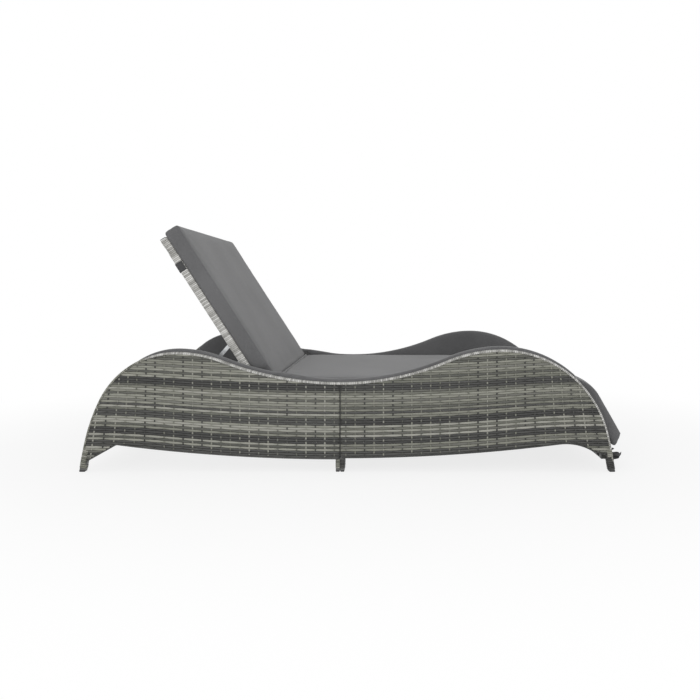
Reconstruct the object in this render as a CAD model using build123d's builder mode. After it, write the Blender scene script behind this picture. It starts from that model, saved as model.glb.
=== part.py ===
from build123d import *

import os
from math import asin, cos, degrees, pi, radians, sin

os.makedirs("parts", exist_ok=True)

# The lounger lies along X with its head end at -X, and stands on Z = 0. Lengths are in millimetres.
# Places along the length are measured from the seam, where the two halves of the base meet.
# The near side is at -Y, and the far side is its mirror image.

# Overall sizes
overall_width = 1300
seam_x = -46
seam_gap = 1.5

# Square steel tube, woven strand and the clearances that the pieces share
tube = 22
tube_wall = 1.5
weave = 4
fabric_gap = 0.3
running_gap = 0.05
overrun = 5

# Fold line of the mattress, which is also the axis that the backrest turns on
fold_x = -242
fold_z = 338
raised_angle = 57
mattress_back = 60

# Wave of the side panels: a crest over each half, and a dip at the seam
dip_rise = 49.3
head_crest_rise = 112
foot_crest_rise = 121
head_crest_run = 605
foot_crest_run = 598
head_crest_share = 0.28
foot_crest_share = 0.34

# Ends of the side panels, where the wave comes down into the leaning end legs
head_shoulder_run = 281
head_shoulder_fall = 175
head_leg_run = 57
head_leg_z = 95
foot_shoulder_run = 386
foot_shoulder_fall = 296
foot_leg_run = 16
foot_leg_z = 80

# Lower edges of the side panels
head_skirt_z = 48.5
head_corner_inset = 119
head_corner_z = 101
head_heel_z = 41
foot_skirt_z = 52.5
foot_arch_inset = 191
foot_arch_z = 103
foot_haunch_inset = 71
foot_haunch_z = 79
foot_heel_z = 62
woven_to_z = 34
notch_share = 0.52

# Legs at the seam, and the plastic glides under all legs
middle_leg_width = 15
middle_leg_depth = 80
glide_height = 6
glide_edge = 2.5
glide_stem = 14
glide_slack = 0.4

# Uprights inside the foot half's side frames, at shares of the way from the seam to the leg
foot_upright_shares = (0.16, 0.3, 0.45, 0.6, 0.725, 0.85)
hinge_rail_inset = 20

# Woven seat deck, which bends down over the foot end
deck_seam_gap = 1
deck_edge_gap = 1
deck_start = 8
deck_bend_inset = 123.5
deck_bend_radius = 66
deck_slope = 62.7
deck_fall = 68
apron_foot_z = 45

# Head end: rail that the flat backrest rests on, woven apron and its lower rail
head_rest_inset = 72
head_rest_gap = 0.5
head_low_inset = 24
head_low_rail_z = 106
apron_inset = 3

# Bolts that pull the two halves together
seam_bolt_radius = 4
seam_bolt_slack = 0.3
seam_bolt_share = 0.53
seam_head_radius = 7
seam_head = 5
seam_nut_radius = 7.5
seam_nut = 6.5

# Side pads, which line the inner faces of the side panels
pad_thickness = 33
pad_rise = 17
pad_head_inset = 143
pad_head_fall = 85
pad_foot_inset = 120
pad_foot_fall = 114
pad_inner_round = 11
pad_outer_round = 4
pad_corner_round = 18

# Mattress, in a seat part and a back part
mattress_gap = 6.7
crown_rise = 5
seat_crown = 3.5
back_crown = 3
fold_clear = 1
mattress_waist = 4
edge_round = 11
end_round = 9
drape_lead = 16.5
drape_radius = 135
drape_fall = 166
hem_slant = 39
hem_round = 11
back_end_inset = 4
lug_notch_depth = 13
seat_notch = 20
back_notch = 62

# Backrest frame, with its woven face
backrest_inset = 11
backrest_start = 3
backrest_end_inset = 23
backrest_mid_share = 0.83
cap_flange = 2.5
cap_stem = 15
cap_slack = 0.3

# Hinge at each side of the fold line
pin_radius = 6
pin_flange = 4
pin_flange_radius = 14
lug = 5
lug_boss = 14
lug_foot = 57
bush_wall = 2
bush_flange = 2
bush_flange_radius = 11
spacer_radius = 9
spacer_gap = 0.3

# Prop, a bail of two flat arms on a foot rod
prop_along = 214
prop_rail_lead = 26
prop_inset = 103
prop_arm = 5
prop_bar = 14
prop_eye = 10
prop_length = 300
prop_foot_z = 249.3
foot_eye = 9
rod_radius = 6
rod_overhang = 17.5
rivet_radius = 4
rivet_head = 2
rivet_head_radius = 6.5
clevis_plate = 4
clevis_gap = 1
clevis_web = 2
clevis_nose = 11

# Racks that the prop's foot rod steps along, from raised down to flat
rack = 5
rack_offset = 12.5
rack_drop = 54.3
rack_head_lead = 54.3
rack_fold_lead = 58.5
rack_clear = 1.5
rack_shoulder = 14
rack_margin = 26
notch_radius = 7
notch_depth = 5
notch_shares = (0, 0.28, 0.56, 0.75)
rod_path_shares = (0, 0.25, 0.5, 0.625, 0.75)

# Strap round the backrest, and the ties at the foot end
strap = 1.5
strap_width = 38
strap_share = 0.815
tie = 2
tie_width = 24
tie_inset = 51
knot_width = 16
knot_length = 18
bow_reach = 58
bow_loop = 7
bow_spread = 13
hanger_reach = 31
hanger_rise = 17

# Heights and places along the lounger that follow from these sizes
deck_top = fold_z - mattress_back - fabric_gap
dip_z = deck_top + dip_rise
head_peak_z = dip_z + head_crest_rise
foot_peak_z = dip_z + foot_crest_rise
head_peak_x = -head_crest_run
foot_peak_x = foot_crest_run
head_shoulder_z = head_peak_z - head_shoulder_fall
foot_shoulder_z = foot_peak_z - foot_shoulder_fall
head_shoulder_x = head_peak_x - head_shoulder_run
foot_shoulder_x = foot_peak_x + foot_shoulder_run
head_leg_x = head_shoulder_x - head_leg_run
foot_leg_x = foot_shoulder_x + foot_leg_run
seam_face = seam_gap / 2
rail_z = deck_top - weave - tube / 2
hinge_rail_x = fold_x + hinge_rail_inset
back_length = fold_x - head_leg_x - back_end_inset
backrest_end = back_length - backrest_end_inset
tall = 2 * foot_peak_z

# Planes across the width, from the outer faces inward
side_outer = overall_width / 2
frame_outer = side_outer - weave
frame_inner = frame_outer - tube
tube_bore = tube - 2 * tube_wall
pad_outer = frame_inner - fabric_gap
deck_half = frame_inner - deck_edge_gap
mattress_half = pad_outer - pad_thickness - mattress_gap
backrest_half = mattress_half - backrest_inset
backrest_rail_reach = backrest_half - tube
lug_outer = backrest_half + lug
bush_outer = lug_outer + bush_flange
pin_tip = backrest_half + fabric_gap
prop_y = backrest_half - prop_inset
rack_y = prop_y + rack_offset
rod_reach = rack_y + rod_overhang
tie_y = deck_half - tie_inset

# Faces of the backrest, out from the mattress's face
woven_face = -(mattress_back + fabric_gap)
rail_face = woven_face - weave
rail_mid = rail_face - tube / 2
rail_back = rail_face - tube
prop_rail_along = prop_along - prop_rail_lead

# The apron's upright face is where the deck's bend, fall and skirt arc bring it
fall_slope = radians(deck_slope)
deck_bend_x = foot_leg_x - deck_bend_inset
skirt_top = deck_top - deck_bend_radius * (1 - cos(fall_slope)) - deck_fall * sin(fall_slope)
skirt_radius = (skirt_top - apron_foot_z - tube) / cos(fall_slope)
apron_x = (
    deck_bend_x
    + deck_bend_radius * sin(fall_slope)
    + deck_fall * cos(fall_slope)
    + skirt_radius * (1 - sin(fall_slope))
)
loop_left = apron_x - weave - tube - fabric_gap
loop_right = apron_x + fabric_gap
loop_low = apron_foot_z - fabric_gap
loop_high = apron_foot_z + tube + fabric_gap
knot_x = loop_right + tie
knot_z = apron_foot_z + tube / 2


def side_plane(y=0):
    """Upright plane along the lounger at y, drawn in places from the seam and heights. Out is -Y."""
    return Plane(origin=(seam_x, y, 0), x_dir=(1, 0, 0), z_dir=(0, -1, 0))


def back_plane(y=0, lowered=0):
    """Plane at y drawn up the backrest from the fold line and out of its face. Out is +Y."""
    slope = radians(raised_angle - lowered)
    return Plane(
        origin=(seam_x + fold_x, y, fold_z),
        x_dir=(-cos(slope), 0, sin(slope)),
        z_dir=(0, 1, 0),
    )


def prop_slope(lowered):
    """Slope in degrees of the prop that puts its foot rod at its own height over the floor."""
    pivot = back_plane(0, lowered).from_local_coords((prop_along, rail_mid))
    return degrees(asin((pivot.Z - prop_foot_z) / prop_length))


def prop_plane(y=0, lowered=0):
    """Plane at y drawn down the prop from its upper pivot. Out is +Y."""
    turn = prop_slope(0) - prop_slope(raised_angle)
    swing = radians(180 + prop_slope(0) - turn * lowered / raised_angle)
    pivot = back_plane(0, lowered).from_local_coords((prop_along, rail_mid))
    return Plane(
        origin=(pivot.X, y, pivot.Z),
        x_dir=(cos(swing), 0, sin(swing)),
        z_dir=(0, 1, 0),
    )


def rod_centre(lowered):
    """Place from the seam and height of the foot rod's axis with the backrest lowered that far."""
    centre = prop_plane(0, lowered).from_local_coords((prop_length, 0))
    return Vector(centre.X - seam_x, centre.Z)


def between(start, end, share):
    """The point at that share of the way from start to end."""
    return (
        start[0] + (end[0] - start[0]) * share,
        start[1] + (end[1] - start[1]) * share,
    )


raised_foot = rod_centre(0)
flat_foot = rod_centre(raised_angle)
rod_stops = [rod_centre(raised_angle * share) for share in rod_path_shares]
rack_rail_z = prop_foot_z - rack_drop
rack_rail_head_x = flat_foot.X - rack_head_lead
rack_rail_fold_x = raised_foot.X + rack_fold_lead
head_uprights = (
    rack_rail_head_x,
    (rack_rail_head_x + rack_rail_fold_x) / 2,
    rack_rail_fold_x,
    (rack_rail_fold_x + hinge_rail_x) / 2,
    hinge_rail_x,
)
foot_uprights = [foot_leg_x * share for share in foot_upright_shares]


def head_panel(foot_z):
    """Face of the head half's side panel, with its end leg cut off level at foot_z."""
    dip = (-seam_face, dip_z)
    peak = (head_peak_x, head_peak_z)
    skirt_start = (-seam_face, head_skirt_z)
    corner = (head_leg_x + head_corner_inset, head_corner_z)
    with BuildSketch() as face:
        with BuildLine():
            hollow = TangentArc(dip, between(peak, dip, head_crest_share), tangent=(-1, 0))
            TangentArc(hollow @ 1, peak, tangent=hollow % 1)
            brow = TangentArc(peak, (head_shoulder_x, head_shoulder_z), tangent=(-1, 0))
            flank = TangentArc(brow @ 1, (head_leg_x, head_leg_z), tangent=brow % 1)
            down = flank % 1
            outer = Line(flank @ 1, flank @ 1 + down * ((foot_z - head_leg_z) / down.Y))
            sole = Line(outer @ 1, outer @ 1 + (-tube / down.Y, 0))
            inner = Line(sole @ 1, sole @ 1 + down * ((head_heel_z - foot_z) / down.Y))
            gusset = Line(inner @ 1, corner)
            TangentArc(skirt_start, gusset @ 1, tangent=(-1, 0))
            Line(skirt_start, dip)
        make_face()
    return face.sketch


def foot_panel(foot_z):
    """Face of the foot half's side panel, with its end leg cut off level at foot_z."""
    dip = (seam_face, dip_z)
    peak = (foot_peak_x, foot_peak_z)
    skirt_start = (seam_face, foot_skirt_z)
    arch = (foot_leg_x - foot_arch_inset, foot_arch_z)
    haunch_end = (foot_leg_x - foot_haunch_inset, foot_haunch_z)
    with BuildSketch() as face:
        with BuildLine():
            hollow = TangentArc(dip, between(peak, dip, foot_crest_share), tangent=(1, 0))
            TangentArc(hollow @ 1, peak, tangent=hollow % 1)
            brow = TangentArc(peak, (foot_shoulder_x, foot_shoulder_z), tangent=(1, 0))
            flank = TangentArc(brow @ 1, (foot_leg_x, foot_leg_z), tangent=brow % 1)
            down = flank % 1
            outer = Line(flank @ 1, flank @ 1 + down * ((foot_z - foot_leg_z) / down.Y))
            sole = Line(outer @ 1, outer @ 1 + (tube / down.Y, 0))
            inner = Line(sole @ 1, sole @ 1 + down * ((foot_heel_z - foot_z) / down.Y))
            skirt = TangentArc(skirt_start, arch, tangent=(1, 0))
            haunch = TangentArc(skirt @ 1, haunch_end, tangent=skirt % 1)
            Line(haunch @ 1, inner @ 1)
            Line(skirt_start, dip)
        make_face()
    return face.sketch


def inset(face, border):
    """What is left of a panel's face inside a border of that width, rounded at its lower corners."""
    with BuildSketch() as inner:
        add(face)
        trace(face.edges(), line_width=2 * border, mode=Mode.SUBTRACT)
        with Locations(*notches(face)):
            Circle(border, mode=Mode.SUBTRACT)
    return inner.sketch


def notches(face):
    """Corners where two edges of a face meet in a notch, which points into the face."""
    corners = []
    for corner in face.vertices():
        with BuildSketch() as probe:
            with Locations(corner):
                Circle(tube_wall)
            add(face, mode=Mode.INTERSECT)
        if probe.sketch.area > notch_share * pi * tube_wall**2:
            corners.append(corner)
    return corners


def windows(panel, uprights, border, bar):
    """Openings of a panel inside a border of that width and between uprights of that width."""
    with BuildSketch() as openings:
        offset(panel(glide_height), amount=-border)
        with Locations(*[(x, 0) for x in uprights]):
            Rectangle(bar, tall, mode=Mode.SUBTRACT)
    return openings.sketch


def side_frame(panel, uprights):
    """Welded frame of square tube round one panel, hollow, with its end leg open below."""
    with BuildPart() as frame:
        with BuildSketch(side_plane(-frame_inner)):
            add(panel(glide_height))
            add(windows(panel, uprights, tube, tube), mode=Mode.SUBTRACT)
        extrude(amount=tube)
        with BuildSketch(side_plane(-frame_inner - tube_wall)):
            add(inset(panel(glide_height - 2 * overrun), tube_wall))
            add(
                windows(panel, uprights, tube - tube_wall, tube_bore),
                mode=Mode.SUBTRACT,
            )
        extrude(amount=tube_bore, mode=Mode.SUBTRACT)
    return frame.part


def side_weave(panel):
    """Woven skin over the outer face of one panel."""
    with BuildPart() as skin:
        with BuildSketch(side_plane(-frame_outer)):
            add(panel(woven_to_z))
        extrude(amount=weave)
    return skin.part


def cross_tube(plane, along, height, reach):
    """Square tube straight across the lounger, its section centred at a place of the plane."""
    with BuildPart() as rail:
        with BuildSketch(plane):
            with Locations((along, height)):
                Rectangle(tube, tube)
        extrude(amount=reach, both=True)
        with BuildSketch(plane):
            with Locations((along, height)):
                Rectangle(tube_bore, tube_bore)
        extrude(amount=reach + overrun, both=True, mode=Mode.SUBTRACT)
    return rail.part


def save(piece, name):
    """Labels a piece and writes it to its own file."""
    piece.label = name
    export_step(piece, f"parts/{name}.step")


def save_pair(near, name):
    """Writes the near piece, and its mirror image across the lounger as the far one."""
    save(near, f"near_{name}")
    with BuildPart() as far:
        mirror(near, about=Plane.XZ)
    save(far.part, f"far_{name}")


# Side frames and their woven skins
halves = (("head", head_panel, head_uprights), ("foot", foot_panel, foot_uprights))
for half, panel, uprights in halves:
    save_pair(side_frame(panel, uprights), f"{half}_side_frame")
    save_pair(side_weave(panel), f"{half}_side_weave")

# Cross rails of the base that carry no bolts
head_rest_top = fold_z + rail_back - head_rest_gap
plain_rails = {
    "head_low_rail": (head_leg_x + head_low_inset, head_low_rail_z),
    "head_rest_rail": (head_leg_x + head_rest_inset, head_rest_top - tube / 2),
    "rack_rail_head": (rack_rail_head_x, rack_rail_z),
    "rack_rail_fold": (rack_rail_fold_x, rack_rail_z),
    "hinge_rail": (hinge_rail_x, rail_z),
    "seat_rail": (foot_uprights[1], rail_z),
    "thigh_rail": (foot_uprights[3], rail_z),
    "knee_rail": (foot_uprights[5], rail_z),
    "foot_end_rail": (apron_x - weave - tube / 2, apron_foot_z + tube / 2),
}
for name, place in plain_rails.items():
    save(cross_tube(side_plane(), *place, frame_inner), name)

# Rails on both sides of the seam, drilled for the bolts that join the halves
seam_rail_x = seam_face + tube / 2
seam_rails = {
    "head_seam_rail": (-seam_rail_x, rail_z),
    "foot_seam_rail": (seam_rail_x, rail_z),
    "head_seam_low_rail": (-seam_rail_x, head_skirt_z + tube / 2),
    "foot_seam_low_rail": (seam_rail_x, foot_skirt_z + tube / 2),
}
low_bolt_z = (head_skirt_z + foot_skirt_z + tube) / 2
seam_plane = Plane(origin=(seam_x, 0, 0), x_dir=(0, 1, 0), z_dir=(1, 0, 0))
bolt_y = frame_inner * seam_bolt_share
bolt_places = [(y, z) for y in (-bolt_y, bolt_y) for z in (rail_z, low_bolt_z)]
for name, place in seam_rails.items():
    with BuildPart() as seam_rail:
        add(cross_tube(side_plane(), *place, frame_inner))
        with BuildSketch(seam_plane):
            with Locations(*bolt_places):
                Circle(seam_bolt_radius + seam_bolt_slack)
        extrude(amount=2 * tube, both=True, mode=Mode.SUBTRACT)
    save(seam_rail.part, name)

bolt_grip = seam_face + tube
with BuildPart() as seam_bolts:
    with BuildSketch(seam_plane.offset(-bolt_grip)):
        with Locations(*bolt_places):
            Circle(seam_bolt_radius)
    extrude(amount=2 * bolt_grip + seam_nut + tube_wall)
    with BuildSketch(seam_plane.offset(-bolt_grip)):
        with Locations(*bolt_places):
            RegularPolygon(seam_head_radius, 6)
    extrude(amount=-seam_head)
seam_bolts.part.label = "seam_bolts"
export_step(seam_bolts.part, "parts/seam_bolts.step")

with BuildPart() as seam_nuts:
    with BuildSketch(seam_plane.offset(bolt_grip)):
        with Locations(*bolt_places):
            RegularPolygon(seam_nut_radius, 6)
            Circle(seam_bolt_radius + running_gap, mode=Mode.SUBTRACT)
    extrude(amount=seam_nut)
seam_nuts.part.label = "seam_nuts"
export_step(seam_nuts.part, "parts/seam_nuts.step")

# Legs at the seam, one pair on each half, hollow and open below for their glides
for half, sign, skirt_z in (("head", -1, head_skirt_z), ("foot", 1, foot_skirt_z)):
    leg_x = sign * (seam_face + middle_leg_width / 2)
    with BuildPart() as middle_legs:
        with BuildSketch(side_plane(-frame_outer + middle_leg_depth)):
            with Locations((leg_x, (skirt_z + glide_height) / 2)):
                Rectangle(middle_leg_width, skirt_z - glide_height)
        extrude(amount=middle_leg_depth)
        with BuildSketch(side_plane(-frame_outer + middle_leg_depth - tube_wall)):
            with Locations((leg_x, glide_height)):
                Rectangle(
                    middle_leg_width - 2 * tube_wall,
                    2 * (skirt_z - glide_height - tube_wall),
                )
        extrude(amount=middle_leg_depth - 2 * tube_wall, mode=Mode.SUBTRACT)
        mirror(about=Plane.XZ)
    save(middle_legs.part, f"{half}_middle_legs")

# Glides of the middle legs: a foot with a chamfered sole, and a stem up the leg
stem_width = middle_leg_width - 2 * tube_wall - 2 * glide_slack
stem_depth = middle_leg_depth - 2 * tube_wall - 2 * glide_slack
with BuildPart() as middle_glides:
    for sign in (-1, 1):
        leg_x = seam_x + sign * (seam_face + middle_leg_width / 2)
        leg_y = -frame_outer + middle_leg_depth / 2
        with Locations((leg_x, leg_y, glide_height / 2)):
            foot_block = Box(middle_leg_width, middle_leg_depth, glide_height)
        chamfer(foot_block.faces().sort_by(Axis.Z)[0].edges(), glide_edge)
        with Locations((leg_x, leg_y, glide_height + glide_stem / 2)):
            Box(stem_width, stem_depth, glide_stem)
    mirror(about=Plane.XZ)
middle_glides.part.label = "middle_glides"
export_step(middle_glides.part, "parts/middle_glides.step")


def end_glide(panel, sign):
    """Glide of one leaning end leg: a foot as wide as the leg, and a stem that leans with it."""
    toe = panel(glide_height).vertices().sort_by(Axis.X)[0 if sign < 0 else -1]
    lean = panel(0).vertices().sort_by(Axis.X)[0 if sign < 0 else -1]
    step = Vector(lean.X - toe.X, lean.Y - toe.Y)
    down = step / step.length
    across = -sign * tube / -down.Y
    inset = -sign * (tube_wall + glide_slack) / -down.Y
    top = Vector(toe.X, toe.Y)
    sole = top + step
    stem_top = top - down * (glide_stem / -down.Y)
    with BuildPart() as glide:
        with BuildSketch(side_plane(-frame_inner)):
            with BuildLine():
                Polyline(
                    top,
                    sole + (0, glide_edge),
                    sole + (-sign * glide_edge, 0),
                    sole + (across + sign * glide_edge, 0),
                    sole + (across, glide_edge),
                    top + (across, 0),
                    close=True,
                )
            make_face()
        extrude(amount=tube)
        with BuildSketch(side_plane(-frame_inner - tube_wall - glide_slack)):
            with BuildLine():
                Polyline(
                    top + (inset, 0),
                    top + (across - inset, 0),
                    stem_top + (across - inset, 0),
                    stem_top + (inset, 0),
                    close=True,
                )
            make_face()
        extrude(amount=tube_bore - 2 * glide_slack)
    return glide.part


with BuildPart() as end_glides:
    add(end_glide(head_panel, -1))
    add(end_glide(foot_panel, 1))
    mirror(about=Plane.XZ)
end_glides.part.label = "end_glides"
export_step(end_glides.part, "parts/end_glides.step")

# Woven deck of the head half, between the fold and the seam
with BuildPart() as head_deck:
    with BuildSketch(Plane.XY.offset(deck_top)):
        with Locations((seam_x - deck_seam_gap, 0)):
            Rectangle(
                -fold_x - deck_start - deck_seam_gap,
                2 * deck_half,
                align=(Align.MAX, Align.CENTER),
            )
    extrude(amount=-weave)
head_deck.part.label = "head_deck"
export_step(head_deck.part, "parts/head_deck.step")

# Woven deck of the foot half, which bends down over the foot end as its apron
with BuildPart() as foot_deck:
    with BuildSketch(side_plane()):
        with BuildLine():
            flat = Line((deck_seam_gap, deck_top), (deck_bend_x, deck_top))
            bend = JernArc(flat @ 1, (1, 0), deck_bend_radius, -deck_slope)
            fall = Line(bend @ 1, bend @ 1 + (bend % 1) * deck_fall)
            skirt = JernArc(fall @ 1, fall % 1, skirt_radius, deck_slope - 90)
            Line(skirt @ 1, (apron_x, apron_foot_z))
            offset(amount=weave, side=Side.RIGHT, kind=Kind.INTERSECTION)
        make_face()
    extrude(amount=deck_half, both=True)
    with Locations(*[(seam_x + apron_x, sign * tie_y, loop_high + tie / 2) for sign in (-1, 1)]):
        Box(tube, tie_width + 2 * fabric_gap, tie + 2 * fabric_gap, mode=Mode.SUBTRACT)
foot_deck.part.label = "foot_deck"
export_step(foot_deck.part, "parts/foot_deck.step")

# Woven apron across the head end, just inside the side panels' outline
apron_tall = head_rest_top - head_low_rail_z + tube / 2
with BuildPart() as head_apron:
    with BuildSketch(side_plane()):
        add(inset(head_panel(glide_height), apron_inset))
        add(inset(head_panel(glide_height), apron_inset + weave), mode=Mode.SUBTRACT)
        with Locations((head_leg_x + head_rest_inset, head_rest_top)):
            Rectangle(
                2 * head_rest_inset,
                apron_tall,
                align=(Align.MAX, Align.MAX),
                mode=Mode.INTERSECT,
            )
    extrude(amount=deck_half, both=True)
head_apron.part.label = "head_apron"
export_step(head_apron.part, "parts/head_apron.step")

# Side pads: upholstered strips that follow the wave a little above the panels
pad_bottom = deck_top + fabric_gap
pad_head = (head_leg_x + pad_head_inset, head_peak_z + pad_rise - pad_head_fall)
pad_foot = (foot_leg_x - pad_foot_inset, foot_peak_z + pad_rise - pad_foot_fall)
with BuildPart() as side_pad:
    with BuildSketch(side_plane(-pad_outer + pad_thickness)) as pad_face:
        with BuildLine():
            dip = (0, dip_z + pad_rise)
            head_peak = (head_peak_x, head_peak_z + pad_rise)
            foot_peak = (foot_peak_x, foot_peak_z + pad_rise)
            hollow = TangentArc(dip, between(head_peak, dip, head_crest_share), tangent=(-1, 0))
            TangentArc(hollow @ 1, head_peak, tangent=hollow % 1)
            brow = TangentArc(head_peak, pad_head, tangent=(-1, 0))
            rise = TangentArc(dip, between(foot_peak, dip, foot_crest_share), tangent=(1, 0))
            TangentArc(rise @ 1, foot_peak, tangent=rise % 1)
            TangentArc(foot_peak, pad_foot, tangent=(1, 0))
            Polyline(pad_head, (pad_head[0], pad_bottom), (pad_foot[0], pad_bottom), pad_foot)
        make_face()
        fillet(pad_face.vertices().group_by(Axis.X)[0], pad_corner_round)
        fillet(pad_face.vertices().group_by(Axis.X)[-1], pad_corner_round)
    extrude(amount=pad_thickness)
    fillet(side_pad.faces().sort_by(Axis.Y)[-1].edges(), pad_inner_round)
    fillet(side_pad.faces().sort_by(Axis.Y)[0].edges(), pad_outer_round)
    with BuildSketch(side_plane()):
        with Locations((fold_x, fold_z)):
            Circle(pin_flange_radius + deck_edge_gap)
    extrude(amount=side_outer, mode=Mode.SUBTRACT)
save_pair(side_pad.part, "side_pad")

# Hinge pins, welded to the side frames, and the spacers that centre the backrest between them
with BuildPart() as hinge_pin:
    with BuildSketch(side_plane(-pin_tip)):
        with Locations((fold_x, fold_z)):
            Circle(pin_radius)
    extrude(amount=frame_inner - pin_tip)
    with BuildSketch(side_plane(-frame_inner)):
        with Locations((fold_x, fold_z)):
            Circle(pin_flange_radius)
    extrude(amount=-pin_flange)
save_pair(hinge_pin.part, "hinge_pin")

with BuildPart() as hinge_spacers:
    with BuildSketch(side_plane(-bush_outer - spacer_gap)):
        with Locations((fold_x, fold_z)):
            Circle(spacer_radius)
            Circle(pin_radius + running_gap, mode=Mode.SUBTRACT)
    extrude(amount=frame_inner - pin_flange - bush_outer - spacer_gap)
    mirror(about=Plane.XZ)
hinge_spacers.part.label = "hinge_spacers"
export_step(hinge_spacers.part, "parts/hinge_spacers.step")

# Racks on their two cross rails, with notches along the foot rod's path
tooth_drop = Vector(0, -rod_radius - rack_clear)
tooth_line = [stop + tooth_drop for stop in rod_stops]
rack_bottom = rack_rail_z + tube / 2
rack_low = rack_bottom + rack_shoulder
with BuildPart() as rack_plate:
    with BuildSketch(side_plane(-rack_y + rack / 2)):
        with BuildLine():
            for first in range(0, len(tooth_line) - 1, 2):
                ThreePointArc(*tooth_line[first : first + 3])
            Polyline(
                tooth_line[0],
                tooth_line[0] + (rack_margin, 0),
                (raised_foot.X + rack_margin, rack_low),
                (rack_rail_fold_x + tube / 2, rack_low),
                (rack_rail_fold_x + tube / 2, rack_bottom),
                (rack_rail_head_x - tube / 2, rack_bottom),
                (rack_rail_head_x - tube / 2, rack_low),
                (rod_stops[-1].X - rack_margin, rack_low),
                tooth_line[-1] + (-rack_margin, 0),
                tooth_line[-1],
            )
        make_face()
        for share in notch_shares:
            foot = rod_centre(raised_angle * share) + tooth_drop
            with Locations(foot + (0, notch_radius - notch_depth)):
                Circle(notch_radius, mode=Mode.SUBTRACT)
    extrude(amount=rack)
save_pair(rack_plate.part, "rack")

# Seat mattress, flat on the deck and hanging over the foot end
seat_end = fold_x + fold_clear
seat_bottom = deck_top + fabric_gap
seat_crown_z = fold_z + crown_rise
drape_x = deck_bend_x - drape_lead
with BuildPart() as seat_mattress:
    with BuildSketch(side_plane()) as seat_section:
        with BuildLine():
            upper = Line((seat_end, seat_crown_z), (drape_x, seat_crown_z))
            knee = JernArc(upper @ 1, (1, 0), drape_radius, -deck_slope)
            front = Line(knee @ 1, knee @ 1 + (knee % 1) * drape_fall)
            lower = Line((seat_end, seat_bottom), (deck_bend_x, seat_bottom))
            hollow = JernArc(lower @ 1, (1, 0), deck_bend_radius + fabric_gap, -deck_slope)
            reach = (front @ 1 - hollow @ 1).dot(hollow % 1) + hem_slant
            rear = Line(hollow @ 1, hollow @ 1 + (hollow % 1) * reach)
            Line(front @ 1, rear @ 1)
            Line(upper @ 0, lower @ 0)
        make_face()
        fillet(seat_section.vertices().group_by(Axis.Y)[0:2], hem_round)
        fillet(seat_section.vertices().group_by(Axis.X)[0], end_round)
    extrude(amount=mattress_half, both=True)
    with BuildSketch(Plane.YZ.offset(seam_x + seat_end - overrun)):
        with BuildLine():
            crown_edge = (mattress_half, seat_crown_z - seat_crown)
            crown_start = (-mattress_half, seat_crown_z - seat_crown)
            crown_arc = ThreePointArc(crown_start, (0, seat_crown_z), crown_edge)
            Polyline(crown_arc @ 0, (-mattress_half, 0), (mattress_half, 0), crown_arc @ 1)
        make_face()
    extrude(amount=overall_width + foot_leg_x, mode=Mode.INTERSECT)
    with BuildSketch(Plane.XY):
        for sign in (-1, 1):
            with BuildLine():
                waist = ThreePointArc(
                    (seam_x + seat_end, sign * mattress_half),
                    (seam_x + drape_x / 2, sign * (mattress_half - mattress_waist)),
                    (seam_x + foot_leg_x + drape_radius, sign * mattress_half),
                )
                Line(waist @ 0, waist @ 1)
            make_face()
    extrude(amount=tall, mode=Mode.SUBTRACT)
    for sign in (-1, 1):
        with Locations((seam_x + seat_end, sign * mattress_half, seat_bottom)):
            Box(
                2 * seat_notch,
                2 * lug_notch_depth,
                tall,
                mode=Mode.SUBTRACT,
            )
seat_mattress.part.label = "seat_mattress"
export_step(seat_mattress.part, "parts/seat_mattress.step")

# Ties at the foot end: a loop round the lower rail, a knot, and a bow hanging outside
with BuildPart() as foot_tie:
    with BuildSketch(side_plane(-tie_y + tie_width / 2)):
        with Locations(((loop_left + loop_right) / 2, (loop_low + loop_high) / 2)):
            Rectangle(
                loop_right - loop_left + 2 * tie, loop_high - loop_low + 2 * tie
            )
            Rectangle(loop_right - loop_left, loop_high - loop_low, mode=Mode.SUBTRACT)
    extrude(amount=tie_width)
    with BuildSketch(side_plane(-tie_y + knot_width / 2)) as knot_section:
        with Locations((knot_x, knot_z)):
            Rectangle(knot_length, knot_width, align=(Align.MIN, Align.CENTER))
        fillet(knot_section.vertices(), tie)
    extrude(amount=knot_width)
    with BuildSketch(side_plane(-tie_y + tie_width / 2)):
        for rise in (-1, 1):
            start = (knot_x + knot_length - 2 * tie, knot_z)
            tip = (knot_x + bow_reach, knot_z + rise * bow_spread)
            with BuildLine():
                SagittaArc(start, tip, bow_loop)
                SagittaArc(start, tip, -bow_loop)
            loop = make_face()
            offset(loop, amount=-tie, mode=Mode.SUBTRACT)
    extrude(amount=tie_width)
    with BuildSketch(side_plane(-tie_y + tie_width / 2)):
        with BuildLine():
            Line(
                (knot_x + knot_length / 2, knot_z),
                (knot_x + hanger_reach, knot_z + hanger_rise),
            )
            offset(amount=tie, side=Side.RIGHT)
        make_face()
    extrude(amount=tie_width)
save_pair(foot_tie.part, "foot_tie")

# Backrest side rails, hollow and open at both ends for their caps
with BuildPart() as backrest_rail:
    with BuildSketch(back_plane(-backrest_half)):
        with Locations((backrest_start, rail_back)):
            Rectangle(backrest_end - backrest_start, tube, align=(Align.MIN, Align.MIN))
    extrude(amount=tube)
    with BuildSketch(back_plane(-backrest_half + tube_wall)):
        with Locations((backrest_start - overrun, rail_back + tube_wall)):
            Rectangle(
                backrest_end - backrest_start + 2 * overrun,
                tube_bore,
                align=(Align.MIN, Align.MIN),
            )
    extrude(amount=tube_bore, mode=Mode.SUBTRACT)
save_pair(backrest_rail.part, "backrest_rail")

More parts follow.
